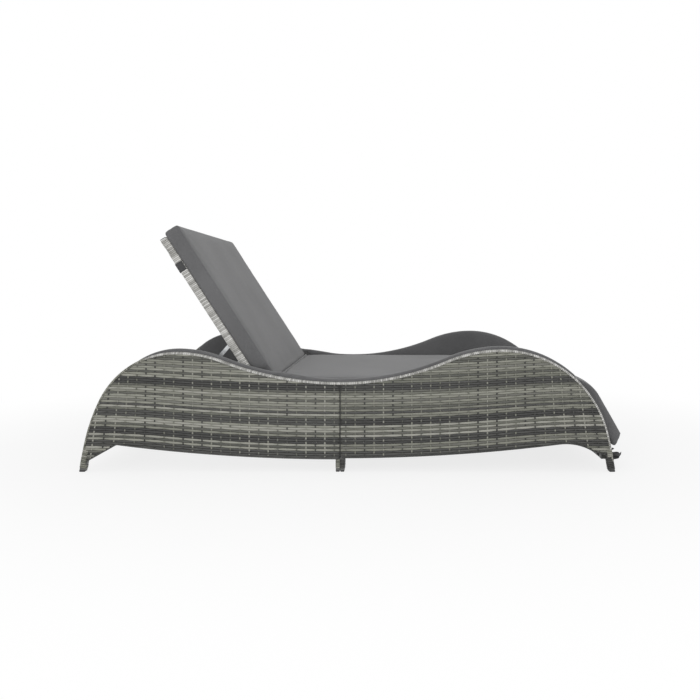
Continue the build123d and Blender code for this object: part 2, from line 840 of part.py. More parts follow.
# Plastic caps in the ends of the backrest's side rails
stem_side = tube_bore - 2 * cap_slack
with BuildPart() as backrest_caps:
    for end, away in ((backrest_start, -1), (backrest_end, 1)):
        with BuildSketch(back_plane(-backrest_half)):
            with Locations((end + away * cap_flange / 2, rail_mid)):
                Rectangle(cap_flange, tube)
        extrude(amount=tube)
        with BuildSketch(back_plane(-backrest_half + tube_wall + cap_slack)):
            with Locations((end - away * cap_stem / 2, rail_mid)):
                Rectangle(cap_stem, stem_side)
        extrude(amount=stem_side)
    mirror(about=Plane.XZ)
backrest_caps.part.label = "backrest_caps"
export_step(backrest_caps.part, "parts/backrest_caps.step")

# Cross rails of the backrest
backrest_cross = {
    "backrest_hinge_rail": backrest_start + tube / 2,
    "backrest_prop_rail": prop_rail_along,
    "backrest_mid_rail": backrest_end * backrest_mid_share,
    "backrest_head_rail": backrest_end - tube / 2,
}
for name, along in backrest_cross.items():
    save(cross_tube(back_plane(), along, rail_mid, backrest_rail_reach), name)

# Woven face of the backrest
with BuildPart() as backrest_weave:
    with BuildSketch(back_plane()):
        with Locations((backrest_start, rail_face)):
            Rectangle(backrest_end - backrest_start, weave, align=(Align.MIN, Align.MIN))
    extrude(amount=backrest_half, both=True)
backrest_weave.part.label = "backrest_weave"
export_step(backrest_weave.part, "parts/backrest_weave.step")

# Hinge lugs, welded outside the backrest's rails and reaching up to the fold line
bush_radius = pin_radius + bush_wall
with BuildPart() as hinge_lug:
    with BuildSketch(back_plane(-lug_outer)):
        with Locations((0, 0)):
            Circle(lug_boss)
        with Locations((backrest_start, rail_back)):
            Rectangle(lug_foot, tube, align=(Align.MIN, Align.MIN))
        make_hull()
        Circle(bush_radius, mode=Mode.SUBTRACT)
    extrude(amount=lug)
save_pair(hinge_lug.part, "hinge_lug")

with BuildPart() as hinge_bushes:
    with BuildSketch(back_plane(-lug_outer)):
        Circle(bush_radius - running_gap)
    extrude(amount=lug)
    with BuildSketch(back_plane(-lug_outer)):
        Circle(bush_flange_radius)
    extrude(amount=-bush_flange)
    with BuildSketch(back_plane(-bush_outer)):
        Circle(pin_radius + running_gap)
    extrude(amount=lug + bush_flange, mode=Mode.SUBTRACT)
    mirror(about=Plane.XZ)
hinge_bushes.part.label = "hinge_bushes"
export_step(hinge_bushes.part, "parts/hinge_bushes.step")

# Clevises on the prop rail that carry the prop's arms, and the rivets through them
clevis_half = prop_arm / 2 + clevis_gap + clevis_plate
clevis_start = prop_rail_along + tube / 2
with BuildPart() as prop_clevis:
    with BuildSketch(back_plane(-prop_y - clevis_half)):
        with Locations((clevis_start, rail_mid)):
            Rectangle(
                prop_along - clevis_start, 2 * clevis_nose, align=(Align.MIN, Align.CENTER)
            )
        with Locations((prop_along, rail_mid)):
            Circle(clevis_nose)
            Circle(rivet_radius + running_gap, mode=Mode.SUBTRACT)
    extrude(amount=2 * clevis_half)
    with BuildSketch(back_plane(-prop_y - prop_arm / 2 - clevis_gap)):
        with Locations((clevis_start + clevis_web, rail_mid)):
            Rectangle(
                prop_along + clevis_nose,
                2 * tube,
                align=(Align.MIN, Align.CENTER),
            )
    extrude(amount=prop_arm + 2 * clevis_gap, mode=Mode.SUBTRACT)
save_pair(prop_clevis.part, "prop_clevis")

with BuildPart() as prop_rivets:
    with BuildSketch(back_plane(-prop_y - clevis_half)):
        with Locations((prop_along, rail_mid)):
            Circle(rivet_radius)
    extrude(amount=2 * clevis_half)
    for face_y, away in ((-prop_y - clevis_half, -1), (-prop_y + clevis_half, 1)):
        with BuildSketch(back_plane(face_y)):
            with Locations((prop_along, rail_mid)):
                Circle(rivet_head_radius)
        extrude(amount=away * rivet_head)
    mirror(about=Plane.XZ)
prop_rivets.part.label = "prop_rivets"
export_step(prop_rivets.part, "parts/prop_rivets.step")

# Back mattress, on the woven face and rounded at its head end
with BuildPart() as back_mattress:
    with BuildSketch(back_plane()) as back_section:
        with Locations((fold_clear, -mattress_back)):
            Rectangle(
                back_length - fold_clear,
                mattress_back + back_crown,
                align=(Align.MIN, Align.MIN),
            )
        fillet(back_section.vertices().group_by(Axis.X)[-1], hem_round)
        fillet(back_section.vertices().group_by(Axis.X)[0], end_round)
    extrude(amount=mattress_half, both=True)
    with BuildSketch(Plane(back_plane().origin, x_dir=(0, 1, 0), z_dir=back_plane().x_dir)):
        with BuildLine():
            crown_arc = ThreePointArc((-mattress_half, 0), (0, -back_crown), (mattress_half, 0))
            Polyline(
                crown_arc @ 0,
                (-mattress_half, 2 * mattress_back),
                (mattress_half, 2 * mattress_back),
                crown_arc @ 1,
            )
        make_face()
    extrude(amount=2 * back_length, mode=Mode.INTERSECT)
    with BuildSketch(Plane(back_plane().origin, x_dir=back_plane().x_dir, z_dir=back_plane().y_dir)):
        for sign in (-1, 1):
            with BuildLine():
                waist = ThreePointArc(
                    (0, sign * mattress_half),
                    (back_length / 2, sign * (mattress_half - mattress_waist)),
                    (back_length, sign * mattress_half),
                )
                Line(waist @ 0, waist @ 1)
            make_face()
            with Locations((0, sign * mattress_half)):
                Rectangle(2 * back_notch, 2 * lug_notch_depth)
    extrude(amount=2 * mattress_back, both=True, mode=Mode.SUBTRACT)
back_mattress.part.label = "back_mattress"
export_step(back_mattress.part, "parts/back_mattress.step")

# Elastic strap of the back mattress, across the back of the frame and up both its sides
strap_start = backrest_end * strap_share - strap_width / 2
strap_inner = backrest_half + fabric_gap
strap_outer = strap_inner + strap
with BuildPart() as backrest_strap:
    with BuildSketch(back_plane()):
        with Locations((strap_start, rail_back - fabric_gap)):
            Rectangle(strap_width, strap, align=(Align.MIN, Align.MAX))
    extrude(amount=strap_outer, both=True)
    with BuildSketch(back_plane(-strap_outer)):
        with Locations((strap_start, rail_back - fabric_gap)):
            Rectangle(
                strap_width,
                woven_face - rail_back + fabric_gap,
                align=(Align.MIN, Align.MIN),
            )
    extrude(amount=strap)
    mirror(about=Plane.XZ)
backrest_strap.part.label = "backrest_strap"
export_step(backrest_strap.part, "parts/backrest_strap.step")

# Prop arms, with an eye on the rivet above and one round the foot rod below
with BuildPart() as prop_arm_bar:
    with BuildSketch(prop_plane(-prop_y - prop_arm / 2)):
        with Locations((prop_length / 2, 0)):
            Rectangle(prop_length, prop_bar)
        Circle(prop_eye)
        with Locations((prop_length, 0)):
            Circle(foot_eye)
            Circle(rod_radius + running_gap, mode=Mode.SUBTRACT)
        Circle(rivet_radius + running_gap, mode=Mode.SUBTRACT)
    extrude(amount=prop_arm)
save_pair(prop_arm_bar.part, "prop_arm")

# Foot rod that joins the arms and rests on the racks
with BuildPart() as prop_rod:
    with BuildSketch(prop_plane()):
        with Locations((prop_length, 0)):
            Circle(rod_radius)
    extrude(amount=rod_reach, both=True)
prop_rod.part.label = "prop_rod"
export_step(prop_rod.part, "parts/prop_rod.step")

prop_ratio = (prop_slope(raised_angle) - prop_slope(0)) / raised_angle - 1
print("prop pivot", back_plane().from_local_coords((prop_along, rail_mid)))
print("prop degrees turned for each degree of the backrest", prop_ratio)
print("foot rod raised and flat", raised_foot, flat_foot)
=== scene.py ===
import math

import bpy
import numpy as np
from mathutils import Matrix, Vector


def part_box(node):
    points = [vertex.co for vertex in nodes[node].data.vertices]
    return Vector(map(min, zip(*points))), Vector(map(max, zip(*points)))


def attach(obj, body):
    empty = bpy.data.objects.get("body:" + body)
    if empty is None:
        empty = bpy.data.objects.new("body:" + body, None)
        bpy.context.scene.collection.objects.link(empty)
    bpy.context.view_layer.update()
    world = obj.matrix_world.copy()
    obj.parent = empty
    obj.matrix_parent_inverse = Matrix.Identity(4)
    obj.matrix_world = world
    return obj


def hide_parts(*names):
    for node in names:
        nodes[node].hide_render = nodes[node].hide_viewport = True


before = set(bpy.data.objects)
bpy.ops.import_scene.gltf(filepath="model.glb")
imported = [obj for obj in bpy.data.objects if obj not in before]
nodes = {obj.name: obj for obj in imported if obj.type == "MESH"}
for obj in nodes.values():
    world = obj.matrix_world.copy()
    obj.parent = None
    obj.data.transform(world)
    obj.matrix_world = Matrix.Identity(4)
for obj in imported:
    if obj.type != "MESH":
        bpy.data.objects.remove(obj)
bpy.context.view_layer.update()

mm = 0.001

# Places that the CAD gives: X runs to the foot end, Y to the far side and Z up
seam_x = -46 * mm
skin_y = 648 * mm
tube_mid_y = 635.5 * mm
tube_inside_y = 624 * mm
hinge = Vector((-288, 0, 338)) * mm
back_lean = math.radians(57)
up_the_back = Vector((-math.cos(back_lean), 0, math.sin(back_lean)))
out_of_back = Vector((math.sin(back_lean), 0, math.cos(back_lean)))
sides = (("near", -1), ("far", 1))

# The weave: rows of flat strand over and under upright stakes
row_pitch = 8.6 * mm
stake_pitch = 34.8 * mm
steps_per_stake = 4
strand_width = 8.9 * mm
strand_thickness = 1.7 * mm
strand_girth = 18.3 * mm
stake_width = 5.6 * mm
row_swing = 1.35 * mm
stake_swing = 0.5 * mm
edge_margin = 3 * mm
shortest_row = 6 * mm

# The strand wound round edges and legs
wrap_pitch = 6.6 * mm
wrap_width = 6.2 * mm
wrap_thickness = 1.8 * mm
wrap_reach = 5.5 * mm
leg_reach = 19 * mm
leg_top = 84 * mm
leg_start = 600 * mm
bare_leg_z = 58 * mm
head_end_start = 720 * mm


def linear(hex_colour):
    """An sRGB hex colour as linear RGBA."""
    parts = [int(hex_colour[i : i + 2], 16) / 255 for i in (1, 3, 5)]
    return [c / 12.92 if c <= 0.04045 else ((c + 0.055) / 1.055) ** 2.4 for c in parts] + [1]


def add(tree, kind, inputs=None, stops=(), **settings):
    """Adds a shader node: its settings, its inputs as values or links, and a colour ramp's
    stops as places and sRGB hex colours."""
    made = tree.nodes.new("ShaderNode" + kind)
    for name, value in settings.items():
        setattr(made, name, value)
    for name, value in (inputs or {}).items():
        if isinstance(value, bpy.types.NodeSocket):
            tree.links.new(value, made.inputs[name])
        else:
            made.inputs[name].default_value = value
    for place, _ in stops[2:]:
        made.color_ramp.elements.new(place)
    for i, (place, hex_colour) in enumerate(sorted(stops)):
        made.color_ramp.elements[i].position = place
        made.color_ramp.elements[i].color = linear(hex_colour)
    return made


def wave_scale(pitch):
    """The scale at which a wave texture's bands are pitch apart."""
    return math.pi / (10 * pitch)


def empty_material(name):
    """A new material with an empty tree, and its tree."""
    made = bpy.data.materials.new(name)
    made.use_nodes = True
    made.node_tree.nodes.clear()
    return made, made.node_tree


def wicker_strand(name, *shades):
    """Polyethylene wicker strand, extruded flat with a drawn grain: each strand has its own
    shade, with long streaks along it, and a soft satin shine."""
    made, tree = empty_material(name)
    along = add(tree, "UVMap").outputs["UV"]
    parts = add(tree, "SeparateXYZ", {"Vector": along})
    strand = add(tree, "Math", {0: parts.outputs["Y"]}, operation="FLOOR")
    shade = add(tree, "TexWhiteNoise", {"W": strand.outputs[0]}, noise_dimensions="1D")
    # streaks about 60 mm long and 3 mm wide
    streak_scale = (1 / (62.5 * mm), strand_girth / (3.05 * mm), 1)
    streak_map = add(tree, "Mapping", {"Vector": along, "Scale": streak_scale})
    streaks = add(
        tree, "TexNoise", {"Vector": streak_map.outputs[0], "Scale": 1, "Detail": 4}
    )
    mixed = add(
        tree,
        "Mix",
        {0: 0.42, 2: shade.outputs["Value"], 3: streaks.outputs["Fac"]},
        data_type="FLOAT",
    )
    stops = list(zip(np.linspace(0.22, 0.78, len(shades)), shades))
    colour = add(tree, "ValToRGB", {"Fac": mixed.outputs[0]}, stops)
    # the grain's real lines are 0.4 mm apart, drawn 1.5 mm apart so that they show
    grain_scale = (1 / (25 * mm), strand_girth / (1.525 * mm), 1)
    grain_map = add(tree, "Mapping", {"Vector": along, "Scale": grain_scale})
    grain = add(tree, "TexNoise", {"Vector": grain_map.outputs[0], "Scale": 1})
    bump = add(
        tree,
        "Bump",
        {"Height": grain.outputs["Fac"], "Strength": 0.5, "Distance": 0.3 * mm},
    )
    shader = add(
        tree,
        "BsdfPrincipled",
        {
            "Base Color": colour.outputs["Color"],
            "Roughness": 0.5,
            "IOR": 1.5,
            "Normal": bump.outputs[0],
        },
    )
    add(tree, "OutputMaterial", {"Surface": shader.outputs[0]})
    return made


def painted_steel(name, coat, worn):
    """Powder coated steel tube: a fine orange peel and a low satin shine, a little paler
    where it is rubbed."""
    made, tree = empty_material(name)
    place = add(tree, "TexCoord").outputs["Object"]
    # orange peel, 1.5 mm from hump to hump, and rubbed patches 110 mm across
    peel = add(tree, "TexNoise", {"Vector": place, "Scale": 1 / (1.5385 * mm), "Detail": 2})
    patches = add(tree, "TexNoise", {"Vector": place, "Scale": 1 / (111.11 * mm), "Detail": 5})
    colour = add(
        tree, "ValToRGB", {"Fac": patches.outputs["Fac"]}, [(0.35, coat), (0.7, worn)]
    )
    bump = add(
        tree,
        "Bump",
        {"Height": peel.outputs["Fac"], "Strength": 0.3, "Distance": 0.15 * mm},
    )
    shader = add(
        tree,
        "BsdfPrincipled",
        {"Base Color": colour.outputs["Color"], "Roughness": 0.46, "Normal": bump.outputs[0]},
    )
    add(tree, "OutputMaterial", {"Surface": shader.outputs[0]})
    return made


def zinc_plated_steel(name):
    """Zinc plated steel: a bright grey metal with soft cloudy patches from the bath."""
    made, tree = empty_material(name)
    place = add(tree, "TexCoord").outputs["Object"]
    # patches 17 mm across
    cloud = add(tree, "TexNoise", {"Vector": place, "Scale": 1 / (16.667 * mm), "Detail": 5})
    colour = add(
        tree, "ValToRGB", {"Fac": cloud.outputs["Fac"]}, [(0.3, "#9b9d9f"), (0.7, "#c3c5c6")]
    )
    rough = add(
        tree, "MapRange", {"Value": cloud.outputs["Fac"], "To Min": 0.3, "To Max": 0.5}
    )
    shader = add(
        tree,
        "BsdfPrincipled",
        {
            "Base Color": colour.outputs["Color"],
            "Metallic": 1,
            "Roughness": rough.outputs[0],
        },
    )
    add(tree, "OutputMaterial", {"Surface": shader.outputs[0]})
    return made


def turned_steel(name):
    """Turned steel under a dull zinc coat: grey, with fine rings that blur its shine."""
    made, tree = empty_material(name)
    place = add(tree, "TexCoord").outputs["Object"]
    # the real turning rings are 0.2 mm apart, drawn 1.2 mm apart so that they show
    rings = add(
        tree,
        "TexWave",
        {"Vector": place, "Scale": wave_scale(1.2083 * mm), "Distortion": 1},
        bands_direction="Y",
    )
    colour = add(
        tree, "ValToRGB", {"Fac": rings.outputs["Fac"]}, [(0, "#7d7e7f"), (1, "#959697")]
    )
    shader = add(
        tree,
        "BsdfPrincipled",
        {"Base Color": colour.outputs["Color"], "Metallic": 1, "Roughness": 0.4},
    )
    add(tree, "OutputMaterial", {"Surface": shader.outputs[0]})
    return made


def moulded_plastic(name):
    """Moulded polyethylene: nearly black, matt, with a fine spark eroded grain."""
    made, tree = empty_material(name)
    place = add(tree, "TexCoord").outputs["Object"]
    # real grain 0.3 mm, drawn as 1.1 mm so that it shows
    grain = add(tree, "TexNoise", {"Vector": place, "Scale": 1 / (1.1111 * mm), "Detail": 2})
    colour = add(
        tree, "ValToRGB", {"Fac": grain.outputs["Fac"]}, [(0.3, "#1c1c1d"), (0.7, "#2a2a2b")]
    )
    bump = add(
        tree,
        "Bump",
        {"Height": grain.outputs["Fac"], "Strength": 0.4, "Distance": 0.1 * mm},
    )
    shader = add(
        tree,
        "BsdfPrincipled",
        {
            "Base Color": colour.outputs["Color"],
            "Roughness": 0.55,
            "IOR": 1.5,
            "Normal": bump.outputs[0],
        },
    )
    add(tree, "OutputMaterial", {"Surface": shader.outputs[0]})
    return made


def woven_cloth(name, deep, light, thread, sheen=0.25):
    """Spun cloth in a plain weave: a heather of darker and paler threads and a soft dull
    sheen at the edges. Real threads 0.5 mm apart are drawn thread apart so that they show."""
    made, tree = empty_material(name)
    place = add(tree, "TexCoord").outputs["Object"]
    bands = [
        add(
            tree,
            "TexWave",
            {"Vector": place, "Scale": wave_scale(thread), "Distortion": 0.4, "Detail": 1},
            bands_direction=axis,
        ).outputs["Fac"]
        for axis in "XYZ"
    ]
    two = add(tree, "Math", {0: bands[0], 1: bands[1]}, operation="ADD")
    three = add(tree, "Math", {0: two.outputs[0], 1: bands[2]}, operation="ADD")
    # heather 2.4 mm from fleck to fleck, and faded clouds 200 mm across
    heather = add(tree, "TexNoise", {"Vector": place, "Scale": 1 / (2.381 * mm), "Detail": 3})
    cloud = add(tree, "TexNoise", {"Vector": place, "Scale": 1 / (200 * mm), "Detail": 4})
    mixed = add(
        tree,
        "Mix",
        {0: 0.35, 2: heather.outputs["Fac"], 3: cloud.outputs["Fac"]},
        data_type="FLOAT",
    )
    colour = add(tree, "ValToRGB", {"Fac": mixed.outputs[0]}, [(0.36, deep), (0.64, light)])
    bump = add(
        tree,
        "Bump",
        {"Height": three.outputs[0], "Strength": 0.35, "Distance": 0.12 * mm},
    )
    shader = add(
        tree,
        "BsdfPrincipled",
        {
            "Base Color": colour.outputs["Color"],
            "Roughness": 0.88,
            "Normal": bump.outputs[0],
            "Sheen Weight": sheen,
            "Sheen Roughness": 0.5,
            "Specular IOR Level": 0.3,
        },
    )
    add(tree, "OutputMaterial", {"Surface": shader.outputs[0]})
    return made


def woven_plate(name, one, other, painted_gap_shade):
    """Polyethylene wicker as a pattern on a solid deck, where it only shows from below: flat
    strands of two shades, with painted shade in the gaps between them for the dark inside
    that a real open weave shows."""
    made, tree = empty_material(name)
    place = add(tree, "TexCoord").outputs["Object"]
    turned = add(tree, "Mapping", {"Vector": place, "Rotation": (0, 0, math.pi / 2)})
    weave = add(
        tree,
        "TexBrick",
        {
            "Vector": turned.outputs[0],
            "Color1": linear(one),
            "Color2": linear(other),
            "Mortar": linear(painted_gap_shade),
            "Scale": 1,
            "Mortar Size": 0.6 * mm,
            "Mortar Smooth": 0.6,
            "Brick Width": 2 * stake_pitch,
            "Row Height": row_pitch,
        },
    )
    bump = add(
        tree,
        "Bump",
        {"Height": weave.outputs["Fac"], "Strength": 0.8, "Distance": 1.2 * mm},
        invert=True,
    )
    shader = add(
        tree,
        "BsdfPrincipled",
        {
            "Base Color": weave.outputs["Color"],
            "Roughness": 0.5,
            "IOR": 1.5,
            "Normal": bump.outputs[0],
        },
    )
    add(tree, "OutputMaterial", {"Surface": shader.outputs[0]})
    return made


pale_strand = wicker_strand(
    "polyethylene wicker strand, pale greys", "#5e5f56", "#76766c", "#86867c", "#999890"
)
middle_strand = wicker_strand(
    "polyethylene wicker strand, middle greys", "#44453f", "#5a5a53", "#6e6e67"
)
dark_strand = wicker_strand(
    "polyethylene wicker strand, dark greys", "#2a2a28", "#353533", "#444441"
)
# The strand wound over the edges: a pale strand, brightened further as a painted highlight where
# light catches the panels' upper edge
edge_strand_with_highlight = wicker_strand(
    "polyethylene wicker strand, edge wrap", "#94938f", "#b3b2ae", "#cfcecb"
)
# the last colour is painted shade in the gaps between the strands
deck_weave = woven_plate("polyethylene wicker, deck weave", "#8b8b85", "#6f6f69", "#2f2f2c")
frame_paint = painted_steel("powder coated steel, graphite", "#4c4c4b", "#5c5c5a")
backrest_paint = painted_steel("powder coated steel, pale grey", "#c4c5c3", "#d2d2d0")
prop_metal = zinc_plated_steel("zinc plated steel")
bare_steel = turned_steel("turned steel")
dark_plastic = moulded_plastic("moulded polyethylene, black")
pad_fabric = woven_cloth("spun polyester cloth, charcoal", "#555556", "#6a6a6b", 1.6 * mm)
webbing = woven_cloth("polypropylene webbing, dark grey", "#3c3c3d", "#4e4e4f", 1.8 * mm, 0.1)
# Nearly black strand: painted shade, which stands for the shadow in the gap between the two halves
seam_shade_strand = wicker_strand(
    "polyethylene wicker strand, painted seam shade", "#141413", "#1b1b1a", "#222221"
)
strand_tones = [pale_strand, middle_strand, dark_strand, edge_strand_with_highlight, seam_shade_strand]
# edge is a pale strand brightened further as a painted highlight; black is painted shade for the
# gap at the seam
pale, middle_tone, dark, edge, black = range(5)
tone_letters = {"p": pale, "m": middle_tone, "d": dark}


def piece(name, points, faces, materials, body, replaced=(), uv=None, tones=None):
    """A mesh piece that rides on a CAD body."""
    mesh = bpy.data.meshes.new(name)
    mesh.from_pydata([tuple(p) for p in points], [], faces)
    for material in materials:
        mesh.materials.append(material)
    if tones is not None:
        mesh.polygons.foreach_set("material_index", tones)
    if uv is not None:
        layer = mesh.uv_layers.new(name="UVMap")
        layer.data.foreach_set("uv", np.asarray(uv, float).ravel())
    mesh.polygons.foreach_set("use_smooth", [True] * len(mesh.polygons))
    mesh.update()
    made = bpy.data.objects.new(name, mesh)
    bpy.context.scene.collection.objects.link(made)
    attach(made, body)
    if replaced:
        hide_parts(*replaced)
    return made


def unit(rows):
    """Each row at length 1."""
    return rows / (np.linalg.norm(rows, axis=1)[:, None] + 1e-12)


class Strands:
    """Strands gathered into one mesh: flat oval tubes along paths. Each has a number of its
    own, from first_strand up, which gives it its shade."""

    corners = 6
    # the part of its own row of the UV map that a strand's way round takes up
    row_share = 0.98
    # how far each strand's streaks are shifted along from those of the one before
    streak_shift = 0.37

    def __init__(self, first_strand):
        self.points, self.faces, self.uv, self.tones = [], [], [], []
        self.count = 0
        self.number = first_strand

    def lay(self, path, across, tone, width=strand_width, thickness=strand_thickness):
        """Lays a strand along path, wide along across."""
        path = np.asarray(path, float)
        if len(path) < 2:
            return
        across = np.broadcast_to(np.asarray(across, float), path.shape)
        tangent = unit(np.gradient(path, axis=0))
        across = unit(across - (across * tangent).sum(1)[:, None] * tangent)
        depth = np.cross(tangent, across)
        turn = np.arange(self.corners) * 2 * math.pi / self.corners
        ring = (
            path[:, None, :]
            + across[:, None, :] * (np.cos(turn) * width / 2)[None, :, None]
            + depth[:, None, :] * (np.sin(turn) * thickness / 2)[None, :, None]
        )
        self.points.append(ring.reshape(-1, 3))
        steps = np.linalg.norm(np.diff(path, axis=0), axis=1)
        length = np.concatenate([[0], np.cumsum(steps)]) + self.streak_shift * self.number
        n, c = len(path), self.corners
        rows = [self.number + k / c * self.row_share for k in range(c + 1)]
        for i in range(n - 1):
            here, there = length[i], length[i + 1]
            for k in range(c):
                a, b = self.count + i * c + k, self.count + i * c + (k + 1) % c
                self.faces.append((a, b, b + c, a + c))
                lo, hi = rows[k], rows[k + 1]
                self.uv.extend([(here, lo), (here, hi), (there, hi), (there, lo)])
                self.tones.append(tone)
        for i, order in ((0, range(c - 1, -1, -1)), (n - 1, range(c))):
            self.faces.append(tuple(self.count + i * c + k for k in order))
            self.uv.extend([(length[i], self.number + 0.5)] * c)
            self.tones.append(tone)
        self.count += n * c
        self.number += 1

    def make(self, name, body, replaced=()):
        """Ends the weave as one piece."""
        return piece(
            name,
            np.concatenate(self.points),
            self.faces,
            strand_tones,
            body,
            replaced,
            self.uv,
            self.tones,
        )


def outline(node):
    """The outer face's edge loop of a side skin, as (x, z) points in order."""
    flatness = 0.05 * mm
    mesh = nodes[node].data
    side = max((v.co.y for v in mesh.vertices), key=abs)
    edges = {}
    for face in mesh.polygons:
        corners = [mesh.vertices[i].co for i in face.vertices]
        if any(abs(c.y - side) > flatness for c in corners):
            continue
        ring = [(round(c.x, 5), round(c.z, 5)) for c in corners]
        for a, b in zip(ring, ring[1:] + ring[:1]):
            if (b, a) in edges:
                del edges[(b, a)]
            else:
                edges[(a, b)] = True
    follow = {a: b for a, b in edges}
    start = next(iter(follow))
    loop, here = [start], follow[start]
    while here != start:
        loop.append(here)
        here = follow[here]
    return np.array(loop)


def inside(loop, x, z):
    """Whether each (x, z) lies inside the loop."""
    ax, az = loop[:, 0][:, None], loop[:, 1][:, None]
    bx, bz = np.roll(loop[:, 0], -1)[:, None], np.roll(loop[:, 1], -1)[:, None]
    crosses = (az > z) != (bz > z)
    with np.errstate(divide="ignore", invalid="ignore"):
        at = ax + (z - az) / (bz - az) * (bx - ax)
    return (np.where(crosses & (x < at), 1, 0).sum(0) % 2).astype(bool)


def spread(path, step):
    """A path's points at an even step, with the last one kept."""
    steps = np.linalg.norm(np.diff(path, axis=0), axis=1)
    length = np.concatenate([[0], np.cumsum(steps)])
    count = max(2, int(round(length[-1] / step)) + 1)
    at = np.linspace(0, length[-1], count)
    return np.stack([np.interp(at, length, path[:, i]) for i in range(path.shape[1])], 1)


def well_inside(loop, xz):
    """Whether each point lies inside the loop with the strand's margin above and below it."""
    high = inside(loop, xz[:, 0], xz[:, 1] + edge_margin)
    return high & inside(loop, xz[:, 0], xz[:, 1] - edge_margin)


def cut(loop, path_xz):
    """The stretches of a path that lie inside the loop: first and last point, and how far
    each end goes on towards the next point."""
    flags = well_inside(loop, path_xz)
    runs, start = [], None
    for i, flag in enumerate(flags):
        if flag and start is None:
            start = i
        if not flag and start is not None:
            runs.append((start, i - 1))
            start = None
    if start is not None:
        runs.append((start, len(flags) - 1))
    ends = []
    for first, last in runs:
        lo = hi = 0.0
        if first > 0:
            lo = bisect(loop, path_xz[first], path_xz[first - 1])
        if last < len(flags) - 1:
            hi = bisect(loop, path_xz[last], path_xz[last + 1])
        ends.append((first, last, lo, hi))
    return ends


def bisect(loop, held, lost):
    """How far from held towards lost the path stays inside, from 0 to 1."""
    lo, hi = 0.0, 1.0
    for _ in range(12):
        middle = (lo + hi) / 2
        p = held + (lost - held) * middle
        if well_inside(loop, p[None, :])[0]:
            lo = middle
        else:
            hi = middle
    return lo


# Rows from the bottom edge up, at the seam, and those below them: p pale, m middle, d dark
bands = "dddpmpdddpmpppdddppdpmppmpppmdddppmppmppmmppmppmppmppppp"
bands_below = "ppmdmmdmdm"
# Stakes from the seam outward
stakes = "mpdppdmpmpppmpdpdppddpppdpdp"

# The rows' curve: an arc near the seam, which levels out towards the legs
arch_start = 620 * mm
arch_radius = 6480 * mm
arch_flat = 965 * mm
arch_share = 0.3
panel_rise = 260 * mm
first_row = 50 * mm
first_stake = 21 * mm
seam_reveal = 2.2 * mm

# The stakes' outward lean near the legs
lean_start = 650 * mm
lean_length = 300 * mm
lean_share = 0.2
lean_height = 250 * mm


def sweep(u):
    """How far the rows have risen at distance u from the seam: the bottom edge's curve."""
    u = np.asarray(u, float)
    slope = arch_start / arch_radius
    beyond = np.clip(u - arch_start, 0, arch_flat - arch_start)
    level = arch_flat - arch_start
    rise = np.minimum(u, arch_start) ** 2 / (2 * arch_radius)
    return rise + slope * (beyond - beyond**2 / (2 * level))


def row_height(k, u):
    """The height of row k at distance u from the seam."""
    base = (k + 0.5) * row_pitch
    return first_row + base + sweep(u) * (1 - arch_share * base / panel_rise)


def row_at(u, z):
    """The row number, with a fraction, that runs through (u, z)."""
    swept = sweep(u)
    base = (z - first_row - swept) / (1 - arch_share * swept / panel_rise)
    return base / row_pitch - 0.5


def lean(u):
    """How far a stake leans outward for each unit that it goes down."""
    grown = np.clip((np.asarray(u, float) - lean_start) / lean_length, 0, 1.2)
    return lean_share * grown**1.5


def stake_at(u, z):
    """The stake coordinate that runs through (u, z)."""
    s = np.asarray(u, float)
    for _ in range(5):
        s = u - lean(s) * (lean_height - z)
    return s


def edge_normals(loop, path, probe):
    """A path's tangents along the loop's edge, and its normals away from the inside, which
    point number probe tells."""
    tangent = unit(np.gradient(path, axis=0))
    normal = np.stack([-tangent[:, 1], tangent[:, 0]], 1)
    tried = path[probe] + normal[probe] * mm
    if inside(loop, tried[:1], tried[1:])[0]:
        normal = -normal
    return tangent, normal


def hug(reach):
    """The way of a strand over a side panel's edge and round the tube behind it, as points
    of (distance out of the edge, distance from the middle plane)."""
    return [
        (reach, skin_y + 1.9 * mm),
        (-3 * mm, skin_y + 2.7 * mm),
        (0.4 * mm, skin_y + 1.6 * mm),
        (1.5 * mm, skin_y - 3 * mm),
        (1.7 * mm, tube_mid_y + 0.5 * mm),
        (1.2 * mm, tube_inside_y + 1 * mm),
        (-1.5 * mm, tube_inside_y - 0.8 * mm),
        (reach, tube_inside_y - 0.8 * mm),
    ]


